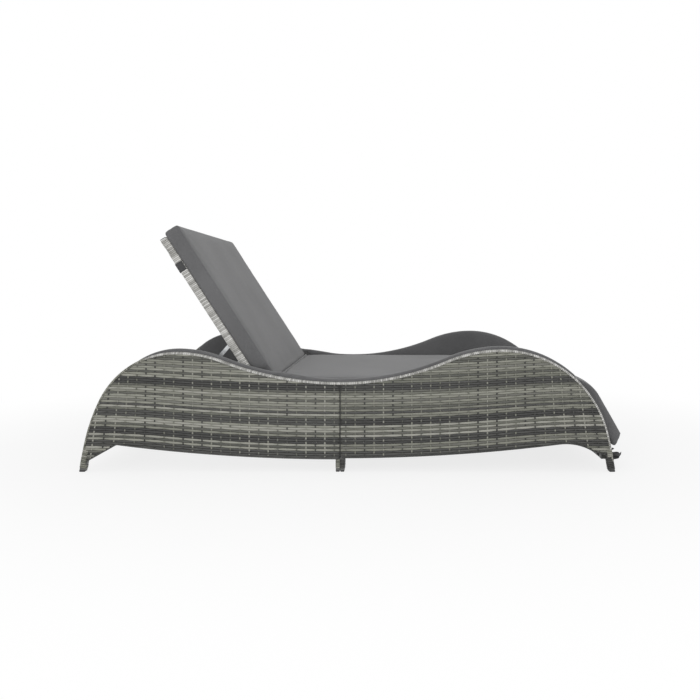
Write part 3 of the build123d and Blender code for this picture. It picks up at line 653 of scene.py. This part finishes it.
class Panel:
    """One woven side panel of the base, whose strands follow the outline of its skin."""

    lengthwise = np.array([1.0, 0, 0])
    upward = np.array([0, 0, 1.0])

    def __init__(self, side_name, half_name, first_strand):
        self.name = f"{side_name}_{half_name}"
        self.skin = f"{self.name}_side_weave"
        self.loop = outline(self.skin)
        self.outward = -1 if side_name == "near" else 1
        self.away = -1 if half_name == "head" else 1
        self.is_foot = half_name == "foot"
        self.longest = abs(self.loop[:, 0] - seam_x).max()
        self.weave = Strands(first_strand)

    def place(self, u, z, depth):
        """Points at distances u from the seam and heights z, with depth out of the skin."""
        return np.stack([seam_x + self.away * u, self.outward * (skin_y + depth), z], 1)

    def on_face(self, u, z):
        """The (x, z) points at distances u from the seam and heights z."""
        return np.stack([seam_x + self.away * u, z], 1)

    def rows(self):
        """The rows, over and under the stakes by turns."""
        step = stake_pitch / steps_per_stake
        u = np.arange(seam_reveal, self.longest + stake_pitch, step)
        for k in range(-len(bands_below), len(bands)):
            band = bands[k] if k >= 0 else bands_below[-k - 1]
            z = row_height(k, u)
            for first, last, lo, hi in cut(self.loop, self.on_face(u, z)):
                if self.is_foot and z[first : last + 1].max() < bare_leg_z:
                    continue
                us = u[first : last + 1]
                if first > 0:
                    us = np.concatenate([[us[0] - lo * step], us])
                if last < len(u) - 1:
                    us = np.concatenate([us, [us[-1] + hi * step]])
                if us[-1] - us[0] < shortest_row:
                    continue
                zs = row_height(k, us)
                phase = ((stake_at(us, zs) - first_stake) / stake_pitch + k) * math.pi
                path = self.place(us, zs, row_swing * np.cos(phase))
                self.weave.lay(path, self.upward, tone_letters[band])

    def uprights(self):
        """The stakes, which pass behind one row and before the next."""
        k = np.arange(-len(bands_below), len(bands) + 1, 0.5)
        for j in range(int(self.longest / stake_pitch) + 2):
            s = first_stake + j * stake_pitch
            z = row_height(k, s)
            u = s + lean(s) * (lean_height - z)
            here = row_at(u, z)
            nearest = np.round(here)
            share = 1 - 2 * np.abs(here - nearest)
            depth = -stake_swing * np.cos((j + nearest) * math.pi) * share
            path = self.place(u, z, depth)
            tone = tone_letters[stakes[j % len(stakes)]]
            for first, last, _, _ in cut(self.loop, self.on_face(u, z)):
                self.weave.lay(path[first : last + 1], self.lengthwise, tone, stake_width)

    def joint(self):
        """A black strand over the upright at the seam, behind the rows' ends: painted shade for
        the shadowed gap between the two halves.
        """
        upright = self.loop[abs(self.loop[:, 0] - seam_x) < 3 * mm, 1]
        z = np.arange(upright.min() + 1.5 * mm, upright.max() - 2 * mm, 6 * mm)
        path = self.place(np.full(len(z), 1.5 * mm), z, np.full(len(z), -0.5 * mm))
        self.weave.lay(path, self.lengthwise, black, 2.8 * mm, 1.4 * mm)

    def edges(self):
        """The skin's upper edge, from the seam over the arch to the leg's foot, and its
        lower edge between the same two ends."""
        beside = abs(self.loop[:, 0] - seam_x)
        seam_end = np.argmin(beside - self.loop[:, 1])
        leg_end = np.argmax(beside - 3 * self.loop[:, 1])
        ring = np.roll(self.loop, -seam_end, axis=0)
        stop = (leg_end - seam_end) % len(self.loop)
        one, other = ring[: stop + 1], np.concatenate([ring[stop:], ring[:1]])[::-1]
        return (one, other) if one[:, 1].mean() > other[:, 1].mean() else (other, one)

    def wraps(self, upper):
        """The strand wound over the upper edge and down the leg."""
        path = spread(upper, wrap_pitch)
        tangent, normal = edge_normals(self.loop, path, 3)
        for (x, z), (along_x, along_z), (out_x, out_z) in zip(path, tangent, normal):
            if self.is_foot and z < bare_leg_z:
                continue
            on_leg = z < leg_top
            head_end = not self.is_foot and abs(x - seam_x) > head_end_start
            turn = [
                (x + out_x * out, self.outward * y, z + out_z * out)
                for out, y in hug(-leg_reach if on_leg else -wrap_reach)
            ]
            # the upper edge takes the edge tone with its painted highlight; the legs and the head
            # end keep the plain pale tone
            tone = pale if on_leg or head_end else edge
            self.weave.lay(turn, (along_x, 0, along_z), tone, wrap_width, wrap_thickness)

    def rolled_edge(self, lower):
        """The strand rolled along the lower edge, which leaves out the upright at the seam
        and the foot half's bare leg."""
        low = spread(lower, 5 * mm)
        low = low[abs(low[:, 0] - seam_x) > 3 * mm]
        _, normal = edge_normals(self.loop, low, len(low) // 2)
        if self.is_foot:
            near_seam = abs(low[:, 0] - seam_x) < leg_start
            kept = (low[:, 1] > bare_leg_z - 4 * mm) | near_seam
            low, normal = low[kept], normal[kept]
        line = low - normal * 0.6 * mm
        y = np.full(len(line), self.outward * (skin_y + 0.6 * mm))
        path = np.stack([line[:, 0], y, line[:, 1]], 1)
        across = np.stack([normal[:, 0], 0 * normal[:, 0], normal[:, 1]], 1)
        self.weave.lay(path, across, dark, 5.4 * mm, 3.8 * mm)

    def make(self):
        """Lays every strand and ends the panel as one piece."""
        self.rows()
        self.uprights()
        self.joint()
        upper, lower = self.edges()
        self.wraps(upper)
        self.rolled_edge(lower)
        return self.weave.make(f"{self.name}_woven_side", "base", [self.skin])


for first_strand, side_name in ((0, "near"), (1000, "far")):
    Panel(side_name, "head", first_strand + 500).make()
    Panel(side_name, "foot", first_strand).make()


def cut_square(corner):
    """Eight points round a square of half width 1, whose corners are cut off at corner."""
    return [
        (1, corner), (corner, 1), (-corner, 1), (-1, corner),
        (-1, -corner), (-corner, -1), (corner, -1), (1, -corner),
    ]


def wound_leg(name, low, high, half_x, half_y, tone, first_strand):
    """Strand wound round a square leg from low to high."""
    low, high = Vector(low), Vector(high)
    axis = (high - low).normalized()
    sideways = Vector((0, 1, 0))
    forward = sideways.cross(axis).normalized()
    weave = Strands(first_strand)
    square = cut_square(0.8)
    for i in range(int((high - low).length / wrap_pitch)):
        centre = low + axis * (i + 0.5) * wrap_pitch
        turn = [
            tuple(centre + forward * a * half_x + sideways * b * half_y)
            for a, b in square + square[:2]
        ]
        weave.lay(turn, tuple(axis), tone, wrap_width, wrap_thickness)
    return weave.make(name, "base")


def heel(side_name, half_name):
    """The middle of an end leg where its woven skin stops."""
    loop = outline(f"{side_name}_{half_name}_side_weave")
    lowest = loop[loop[:, 1] < loop[:, 1].min() + 4 * mm]
    return Vector((lowest[:, 0].mean(), 0, lowest[:, 1].mean()))


def toe(side_name, half_name):
    """The middle of an end leg's open lower end."""
    away = -1 if half_name == "head" else 1
    points = [v.co for v in nodes[f"{side_name}_{half_name}_side_frame"].data.vertices]
    ends = [p.x for p in points if p.z < 8 * mm and away * (p.x - seam_x) > 500 * mm]
    return Vector(((min(ends) + max(ends)) / 2, 0, 6 * mm))


# How far up its leg, from toe to heel, each half's winding starts and stops
leg_shares = (("head", pale, 0.28, 0.95), ("foot", dark, 0.1, 2.0))
first_strand = 6000
for side_name, outward in sides:
    aside = Vector((0, outward * tube_mid_y, 0))
    for half_name, tone, start, stop in leg_shares:
        low_end, high_end = toe(side_name, half_name), heel(side_name, half_name)
        wound_leg(
            f"{side_name}_{half_name}_leg_winding",
            low_end.lerp(high_end, start) + aside,
            low_end.lerp(high_end, stop) + aside,
            half_x=12 * mm,
            half_y=12.4 * mm,
            tone=tone,
            first_strand=first_strand,
        )
        first_strand += 100


def wrapped_rail_end(side_name, outward, first_strand):
    """Strand laid over an end of the foot rail, side by side, which closes its open tube."""
    clear = 0.9 * mm
    low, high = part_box("foot_end_rail")
    end_y = outward * (high.y + clear)
    turn_y = end_y - outward * 2 * mm
    inner_y = outward * (high.y - 24 * mm)
    weave = Strands(first_strand)
    for x in np.linspace(low.x + 3.4 * mm, high.x - 3.4 * mm, 3):
        path = [
            (x, inner_y, high.z + clear),
            (x, turn_y, high.z + clear),
            (x, end_y, high.z - 1 * mm),
            (x, end_y, low.z + 1 * mm),
            (x, turn_y, low.z - clear),
            (x, inner_y, low.z - clear),
        ]
        weave.lay(path, (1, 0, 0), dark, 7.6 * mm, 1.6 * mm)
    return weave.make(f"{side_name}_foot_rail_wrapping", "base")


wrapped_rail_end("near", -1, 6800)
wrapped_rail_end("far", 1, 6900)

middle_leg_y = 606 * mm
for half_name, tone in (("head", pale), ("foot", dark)):
    legs_low, legs_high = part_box(f"{half_name}_middle_legs")
    legs_x = (legs_low.x + legs_high.x) / 2
    for side_name, outward in sides:
        wound_leg(
            f"{side_name}_{half_name}_middle_leg_winding",
            (legs_x, outward * middle_leg_y, 13 * mm),
            (legs_x, outward * middle_leg_y, 51 * mm),
            half_x=(legs_high.x - legs_low.x) / 2 + 0.4 * mm,
            half_y=40.8 * mm,
            tone=tone,
            first_strand=first_strand,
        )
        first_strand += 100


def flat_weave(name, profile, half_width, side, body, replaced, first_strand, tones):
    """A woven sheet across the width: rows run across, stakes run along the profile.
    profile is the mid line as points, and side is the way its face looks."""
    weave = Strands(first_strand)
    line = spread(np.array([tuple(p) for p in profile]), row_pitch)
    tangent = unit(np.gradient(line, axis=0))
    sideways = np.array([0, 1.0, 0])
    face = np.cross(tangent, sideways)
    if (face[0] * np.array(tuple(side))).sum() < 0:
        face = -face
    step = stake_pitch / steps_per_stake
    y = np.arange(-half_width, half_width + step / 2, step)
    for k in range(len(line)):
        depth = row_swing * np.cos((y / stake_pitch + k) * math.pi)
        path = line[k] + y[:, None] * sideways + depth[:, None] * face[k]
        weave.lay(path, tangent[k], tones[k % len(tones)])
    count = int(half_width / stake_pitch)
    for j in range(-count, count + 1):
        depth = -stake_swing * np.cos((j + np.arange(len(line))) * math.pi)
        path = line + j * stake_pitch * sideways + depth[:, None] * face
        weave.lay(path, sideways, tone_letters[stakes[j % len(stakes)]], stake_width)
    for end in (-1, 1):
        path = line + end * (half_width - 2 * mm) * sideways
        weave.lay(spread(path, 20 * mm), sideways, dark, 5 * mm, 4 * mm)
    return weave.make(name, body, replaced)


deck_tones = [pale] * 5 + [dark] + [pale] * 7 + [dark] * 2 + [pale] * 4 + [dark] * 3
apron_tones = [dark] * 3 + [pale] * 4 + [dark] * 3 + [pale] * 5
deck_inset = 4 * mm
deck_low, deck_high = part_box("head_deck")
deck_z = (deck_low.z + deck_high.z) / 2
flat_weave(
    "head_woven_deck",
    [(deck_low.x + deck_inset, 0, deck_z), (deck_high.x - deck_inset, 0, deck_z)],
    deck_high.y,
    (0, 0, 1),
    "base",
    ["head_deck"],
    3000,
    deck_tones,
)


def in_the_back(node):
    """The lowest and highest distance of a backrest node along the back and out of it."""
    co = [Vector(v.co) - hinge for v in nodes[node].data.vertices]
    along = [c.dot(up_the_back) for c in co]
    out = [c.dot(out_of_back) for c in co]
    return min(along), max(along), min(out), max(out)


face_start, face_end, face_back, face_front = in_the_back("backrest_weave")
face_middle = (face_back + face_front) / 2
flat_weave(
    "backrest_woven_face",
    [
        hinge + up_the_back * (face_start + deck_inset) + out_of_back * face_middle,
        hinge + up_the_back * (face_end - deck_inset) + out_of_back * face_middle,
    ],
    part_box("backrest_weave")[1].y,
    -out_of_back,
    "backrest",
    ["backrest_weave"],
    4000,
    deck_tones,
)


def rail_winding(side_name, first_strand):
    """The strand wound round a side rail of the backrest, which also takes in the edge of
    its woven face. Where the lowered backrest lies on its rest rail, the turns stop short of
    the back face."""
    _, rail_end, rail_back, _ = in_the_back(f"{side_name}_backrest_rail")
    low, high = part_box(f"{side_name}_backrest_rail")
    centre_y = (low.y + high.y) / 2
    half_y = (high.y - low.y) / 2 + 0.8 * mm
    centre_out = (rail_back + face_front) / 2
    half_out = (face_front - rail_back) / 2 + 0.6 * mm
    rest_low, rest_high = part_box("head_rest_rail")
    rest_start, rest_stop = hinge.x - rest_high.x - 5 * mm, hinge.x - rest_low.x + 5 * mm
    square = cut_square(0.86)
    closed_turn = square + square[:2]
    open_turn = [square[i] for i in (2, 1, 0, 7, 6, 5)]
    weave = Strands(first_strand)
    along = in_the_back(f"{side_name}_hinge_lug")[1] + wrap_pitch
    while along < rail_end - 6 * mm:
        middle = hinge + up_the_back * along + out_of_back * centre_out
        turn = [
            tuple(middle + out_of_back * a * half_out + Vector((0, centre_y + b * half_y, 0)))
            for a, b in (open_turn if rest_start < along < rest_stop else closed_turn)
        ]
        # the edge tone, with its painted highlight, also winds the backrest rails
        weave.lay(turn, tuple(up_the_back), edge, 6.4 * mm, 1.6 * mm)
        along += wrap_pitch
    return weave.make(f"{side_name}_backrest_winding", "backrest")


rail_winding("near", 7000)
rail_winding("far", 7500)


def apron_profile():
    """The mid line of the head apron: the head outline drawn in by the apron's place."""
    loop = outline("near_head_side_weave")
    low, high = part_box("head_apron")
    line = []
    for z in np.arange(low.z + 4 * mm, high.z - 3 * mm, 4 * mm):
        a, b = loop, np.roll(loop, -1, axis=0)
        hit = (a[:, 1] > z) != (b[:, 1] > z)
        x = a[hit, 0] + (z - a[hit, 1]) / (b[hit, 1] - a[hit, 1]) * (b[hit, 0] - a[hit, 0])
        line.append((x.min(), z))
    line = np.array(line)
    tangent = unit(np.gradient(line, axis=0))
    inward = np.stack([tangent[:, 1], -tangent[:, 0]], 1)
    return [(x, 0, z) for x, z in line + inward * 5 * mm]


flat_weave(
    "head_woven_apron",
    apron_profile(),
    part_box("head_apron")[1].y,
    (-1, 0, 0),
    "base",
    ["head_apron"],
    5000,
    apron_tones,
)


def near_hinge(points):
    """Nearly still at the hinge line, and free 60 mm away from it."""
    away = np.hypot(points[:, 0] - hinge.x, points[:, 2] - hinge.z)
    return np.clip(away / (60 * mm), 0.15, 1)


def read(mesh, what):
    """A vector that each of a mesh's vertices has, as rows."""
    rows = np.empty(len(mesh.vertices) * 3)
    mesh.vertices.foreach_get(what, rows)
    return rows.reshape(-1, 3)


def stuffed(name, node, body, voxel, shrink, swell, fill, held=None):
    """A padded piece from its CAD solid: remeshed, drawn in a little, then blown up as cloth,
    with each point held within swell of where it began. held gives the share of that freedom
    that each point keeps, so that the ends at the hinge stay in line."""
    made = bpy.data.objects.new(name, nodes[node].data.copy())
    bpy.context.scene.collection.objects.link(made)
    remesh = made.modifiers.new("voxels", "REMESH")
    remesh.mode = "VOXEL"
    remesh.voxel_size = voxel
    view = bpy.context.evaluated_depsgraph_get()
    made.data = bpy.data.meshes.new_from_object(made.evaluated_get(view))
    made.modifiers.clear()
    begin = read(made.data, "co")
    free = np.ones(len(begin)) if held is None else held(begin)
    begin = begin - read(made.data, "normal") * shrink * free[:, None]
    made.data.vertices.foreach_set("co", begin.ravel())
    made.data.update()
    last_frame = 20
    cloth = made.modifiers.new("stuffing", "CLOTH")
    cloth.settings.quality = 5
    cloth.settings.mass = 0.3
    cloth.settings.tension_stiffness = 15
    cloth.settings.compression_stiffness = 15
    cloth.settings.shear_stiffness = 5
    cloth.settings.bending_stiffness = 0.5
    cloth.settings.use_pressure = True
    cloth.settings.uniform_pressure_force = 4
    cloth.settings.effector_weights.gravity = 0
    cloth.collision_settings.use_collision = False
    cloth.point_cache.frame_start = 1
    cloth.point_cache.frame_end = last_frame
    for number in range(1, last_frame + 1):
        bpy.context.scene.frame_set(number)
    view = bpy.context.evaluated_depsgraph_get()
    made.data = bpy.data.meshes.new_from_object(made.evaluated_get(view))
    made.modifiers.clear()
    bpy.context.scene.frame_set(1)
    mesh = made.data
    moved = read(mesh, "co") - begin
    length = np.linalg.norm(moved, axis=1)
    moved *= np.minimum(1, swell * free / np.maximum(length, 1e-9))[:, None]
    mesh.vertices.foreach_set("co", (begin + moved).ravel())
    mesh.polygons.foreach_set("use_smooth", [True] * len(mesh.polygons))
    mesh.materials.clear()
    mesh.materials.append(pad_fabric)
    mesh.update()
    finer = made.modifiers.new("finer cloth", "SUBSURF")
    finer.levels = finer.render_levels = 1
    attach(made, body)
    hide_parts(node)
    return made


# Voxel size, how far the cover is drawn in, how far it swells, and how full it is
mattress = (9 * mm, 1.5 * mm, 5 * mm, 0.75)
side_pad = (7 * mm, 1 * mm, 3 * mm, 0.7)
stuffed("seat_mattress_cushion", "seat_mattress", "base", *mattress, near_hinge)
stuffed("back_mattress_cushion", "back_mattress", "backrest", *mattress, near_hinge)
stuffed("near_side_cushion", "near_side_pad", "base", *side_pad)
stuffed("far_side_cushion", "far_side_pad", "base", *side_pad)


def tape(name, runs, material, body, replaced):
    """Flat tapes as one piece. Each run is (path, across, width, thickness)."""
    bulge = [(-0.5, -0.35), (-0.25, -0.5), (0.25, -0.5), (0.5, -0.35)]
    section = bulge + [(-a, -b) for a, b in bulge]
    c = len(section)
    points, faces = [], []
    for path, across, width, thickness in runs:
        path = np.array([tuple(p) for p in path])
        across = np.broadcast_to(np.array(tuple(across), float), path.shape)
        depth = unit(np.cross(unit(np.gradient(path, axis=0)), across))
        base = len(points)
        for p, a, d in zip(path, across, depth):
            points.extend(p + a * width * s + d * thickness * t for s, t in section)
        for i in range(len(path) - 1):
            for k in range(c):
                p, q = base + i * c + k, base + i * c + (k + 1) % c
                faces.append((p, q, q + c, p + c))
        faces.append(tuple(base + k for k in reversed(range(c))))
        faces.append(tuple(base + (len(path) - 1) * c + k for k in range(c)))
    return piece(name, points, faces, [material], body, replaced)


def smooth_path(points, count):
    """A smooth path through points, as a Catmull-Rom spline with count steps a span."""
    p = [Vector(q) for q in points]
    p = [p[0] * 2 - p[1], *p, p[-1] * 2 - p[-2]]
    path = []
    for i in range(1, len(p) - 2):
        a, b, c, d = p[i - 1 : i + 3]
        for j in range(count):
            t = j / count
            square = (a * 2 - b * 5 + c * 4 - d) * t**2
            cube = (b * 3 - a - c * 3 + d) * t**3
            path.append((b * 2 + (c - a) * t + square + cube) / 2)
    return path + [p[-2]]


# The bows at the foot rail, as points in mm from the knot's middle
tie_y = 572 * mm
rail_x = 933 * mm
rail_z = 56 * mm
knot_x = 957 * mm
upper_loop = [(2, 0, 0), (14, -10, -2), (34, -16, 0), (42, -13, -9), (26, -6, -14), (4, 0, -4)]
lower_loop = [(2, 0, -2), (10, 10, -15), (19, 16, -26), (29, 14, -22), (20, 6, -9), (4, 0, -2)]
tail = [(4, 2, -4), (22, 2, -17), (40, 5, -16), (54, 8, -3)]
hanger = [(2, 0, 0), (9, 0, 8), (17, 0, 14), (24, 0, 18)]
knot = [
    (-3, 7, 7), (4, 8, 8), (9, 8, 0), (5, 7, -8), (-3, 6, -7),
    (-6, 0, 0), (-2, -6, 7), (6, -7, 6), (9, -7, -3), (2, -7, -8),
]


def foot_tie(side_name, outward):
    """A tape tied round the foot rail in a bow, with a hanger up to the mattress."""
    y = outward * tie_y
    middle = Vector((knot_x, y, rail_z))

    def run(points, count=5):
        return smooth_path([middle + Vector(p) * mm for p in points], count)

    # the loop round the rail, which is open for 0.35 rad each way at the knot
    radius = 13.568 * mm
    loop = [
        (rail_x + radius * math.cos(a), y, rail_z + radius * math.sin(a))
        for a in np.linspace(0.35, 2 * math.pi - 0.35, 20)
    ]
    round_rail = [(knot_x, y, rail_z + 4 * mm), *loop, (knot_x, y, rail_z - 4 * mm)]
    across = (0, 1, 0)
    bow_across = Vector((0.35, 0.62, 0.7)).normalized()
    runs = [
        (round_rail, across, 20 * mm, 2 * mm),
        (run(upper_loop), bow_across, 17 * mm, 3 * mm),
        (run(lower_loop), bow_across, 17 * mm, 3 * mm),
        (run(tail), bow_across, 14 * mm, 3 * mm),
        (run(hanger), across, 20 * mm, 2 * mm),
        (run(knot, 4), across, 9 * mm, 6 * mm),
    ]
    return tape(
        f"{side_name}_tied_bow", runs, webbing, "base", [f"{side_name}_foot_tie"]
    )


for side_name, outward in sides:
    foot_tie(side_name, outward)


def back_strap():
    """The elastic strap across the back of the backrest frame and up both its sides, with a
    sewn line near each edge."""
    start, end, back, front = in_the_back("backrest_strap")
    at = (start + end) / 2
    behind = back - 1.6 * mm
    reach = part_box("backrest_strap")[1].y + 1 * mm
    side = [
        (-reach, front),
        (-reach, behind + 12 * mm),
        (-reach, behind + 5 * mm),
        (-reach + 2 * mm, behind + 1.5 * mm),
        (-reach + 6 * mm, behind),
    ]
    across = [(y, behind) for y in np.linspace(-reach + 30 * mm, reach - 30 * mm, 40)]
    line = side + across + [(-y, out) for y, out in reversed(side)]

    def shifted(shift):
        middle = hinge + up_the_back * (at + shift)
        return [middle + out_of_back * out + Vector((0, y, 0)) for y, out in line]

    runs = [(shifted(0), up_the_back, 38 * mm, 1.7 * mm)]
    for shift in (-15 * mm, 15 * mm):
        runs.append((shifted(shift), up_the_back, 2 * mm, 2.4 * mm))
    return tape("back_elastic_strap", runs, webbing, "backrest", ["backrest_strap"])


def fold_band():
    """The cover cloth that joins the two cushions, rolled up along the hinge line."""
    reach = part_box("seat_mattress")[1].y - 8 * mm
    path = [hinge + Vector((0, y, -1 * mm)) for y in np.linspace(-reach, reach, 40)]
    runs = [(path, up_the_back, 10 * mm, 10 * mm)]
    return tape("mattress_fold_band", runs, pad_fabric, "base", [])


back_strap()
fold_band()

# The finishes of the CAD pieces that stay in view: graphite paint where none is named
finishes = (
    (backrest_paint, [
        "near_backrest_rail", "far_backrest_rail", "backrest_hinge_rail",
        "backrest_prop_rail", "backrest_mid_rail", "backrest_head_rail",
    ]),
    (prop_metal, [
        "near_prop_arm", "far_prop_arm", "prop_rod", "near_prop_clevis", "far_prop_clevis",
    ]),
    (bare_steel, [
        "near_hinge_pin", "far_hinge_pin", "seam_bolts", "seam_nuts", "prop_rivets",
    ]),
    (dark_plastic, [
        "end_glides", "middle_glides", "hinge_bushes", "hinge_spacers", "backrest_caps",
    ]),
    (deck_weave, ["foot_deck"]),
)
finish_of = {name: finish for finish, names in finishes for name in names}
for name, node in nodes.items():
    if not node.hide_render:
        node.data.materials.clear()
        node.data.materials.append(finish_of.get(name, frame_paint))


def seen_rays(tree):
    """1 for the rays that show the studio to the eye: camera, glossy and transmission rays."""
    path = add(tree, "LightPath")
    seen = path.outputs["Is Camera Ray"]
    for kind in ("Is Glossy Ray", "Is Transmission Ray"):
        both = add(tree, "Math", {0: seen, 1: path.outputs[kind]}, operation="ADD", use_clamp=True)
        seen = both.outputs[0]
    return seen


# The floor: matt, and plain white away from the lounger, so that no horizon shows
half_floor = 30
quarters = [(-1, -1), (1, -1), (1, 1), (-1, 1)]
floor_corners = [(x * half_floor, y * half_floor, 0) for x, y in quarters]
floor_mesh = bpy.data.meshes.new("floor")
floor_mesh.from_pydata(floor_corners, [], [(0, 1, 2, 3)])
floor = bpy.data.objects.new("floor", floor_mesh)
bpy.context.scene.collection.objects.link(floor)
floor_finish, tree = empty_material("matt white studio floor")
away = add(
    tree, "VectorMath", {0: add(tree, "TexCoord").outputs["Object"]}, operation="LENGTH"
)
whiteness = add(
    tree,
    "MapRange",
    {"Value": away.outputs["Value"], "From Min": 1.0, "From Max": 2.6, "To Min": 0.8, "To Max": 1},
    interpolation_type="SMOOTHSTEP",
)
glow_share = add(
    tree,
    "Math",
    {0: seen_rays(tree), 1: whiteness.outputs[0]},
    operation="MULTIPLY",
    use_clamp=True,
)
matt = add(tree, "BsdfDiffuse", {"Color": linear("#f2f2f2")})
glow = add(tree, "Emission", {"Color": linear("#ffffff"), "Strength": 1.0})
mixed = add(
    tree, "MixShader", {0: glow_share.outputs[0], 1: matt.outputs[0], 2: glow.outputs[0]}
)
add(tree, "OutputMaterial", {"Surface": mixed.outputs[0]})
floor_mesh.materials.append(floor_finish)

# The world: an even light, which looks plain white
world = bpy.data.worlds.new("studio")
bpy.context.scene.world = world
world.use_nodes = True
tree = world.node_tree
tree.nodes.clear()
even_light = add(tree, "Background", {"Color": linear("#ffffff"), "Strength": 0.66})
white = add(tree, "Background", {"Color": linear("#ffffff"), "Strength": 1.0})
both = add(
    tree, "MixShader", {0: seen_rays(tree), 1: even_light.outputs[0], 2: white.outputs[0]}
)
add(tree, "OutputWorld", {"Surface": both.outputs[0]})


def soft_box(name, place, size, watts):
    """A large square studio lamp, turned to the lounger."""
    lamp = bpy.data.lights.new(name, "AREA")
    lamp.shape = "SQUARE"
    lamp.size = size
    lamp.energy = watts
    made = bpy.data.objects.new(name, lamp)
    made.location = place
    made.rotation_mode = "QUATERNION"
    made.rotation_quaternion = (Vector((0, 0, 0.3)) - Vector(place)).to_track_quat("-Z", "Y")
    bpy.context.scene.collection.objects.link(made)


soft_box("overhead soft box", place=(-0.4, -0.8, 3.8), size=2.6, watts=6)
soft_box("front soft box", place=(-0.2, -4.8, 1.5), size=3.4, watts=85)

# The camera looks straight across the lounger, and is shifted to frame it
camera_data = bpy.data.cameras.new("camera")
camera = bpy.data.objects.new("camera", camera_data)
bpy.context.scene.collection.objects.link(camera)
camera.location = (0.130, -3.820, 0.671)
camera.rotation_mode = "QUATERNION"
camera.rotation_quaternion = Vector((0, 1, 0)).to_track_quat("-Z", "Y")
camera_data.sensor_width = 36
camera_data.lens = 44.3
camera_data.shift_x = -0.054
camera_data.shift_y = -0.086
bpy.context.scene.camera = camera

bpy.context.scene.view_settings.view_transform = "Standard"
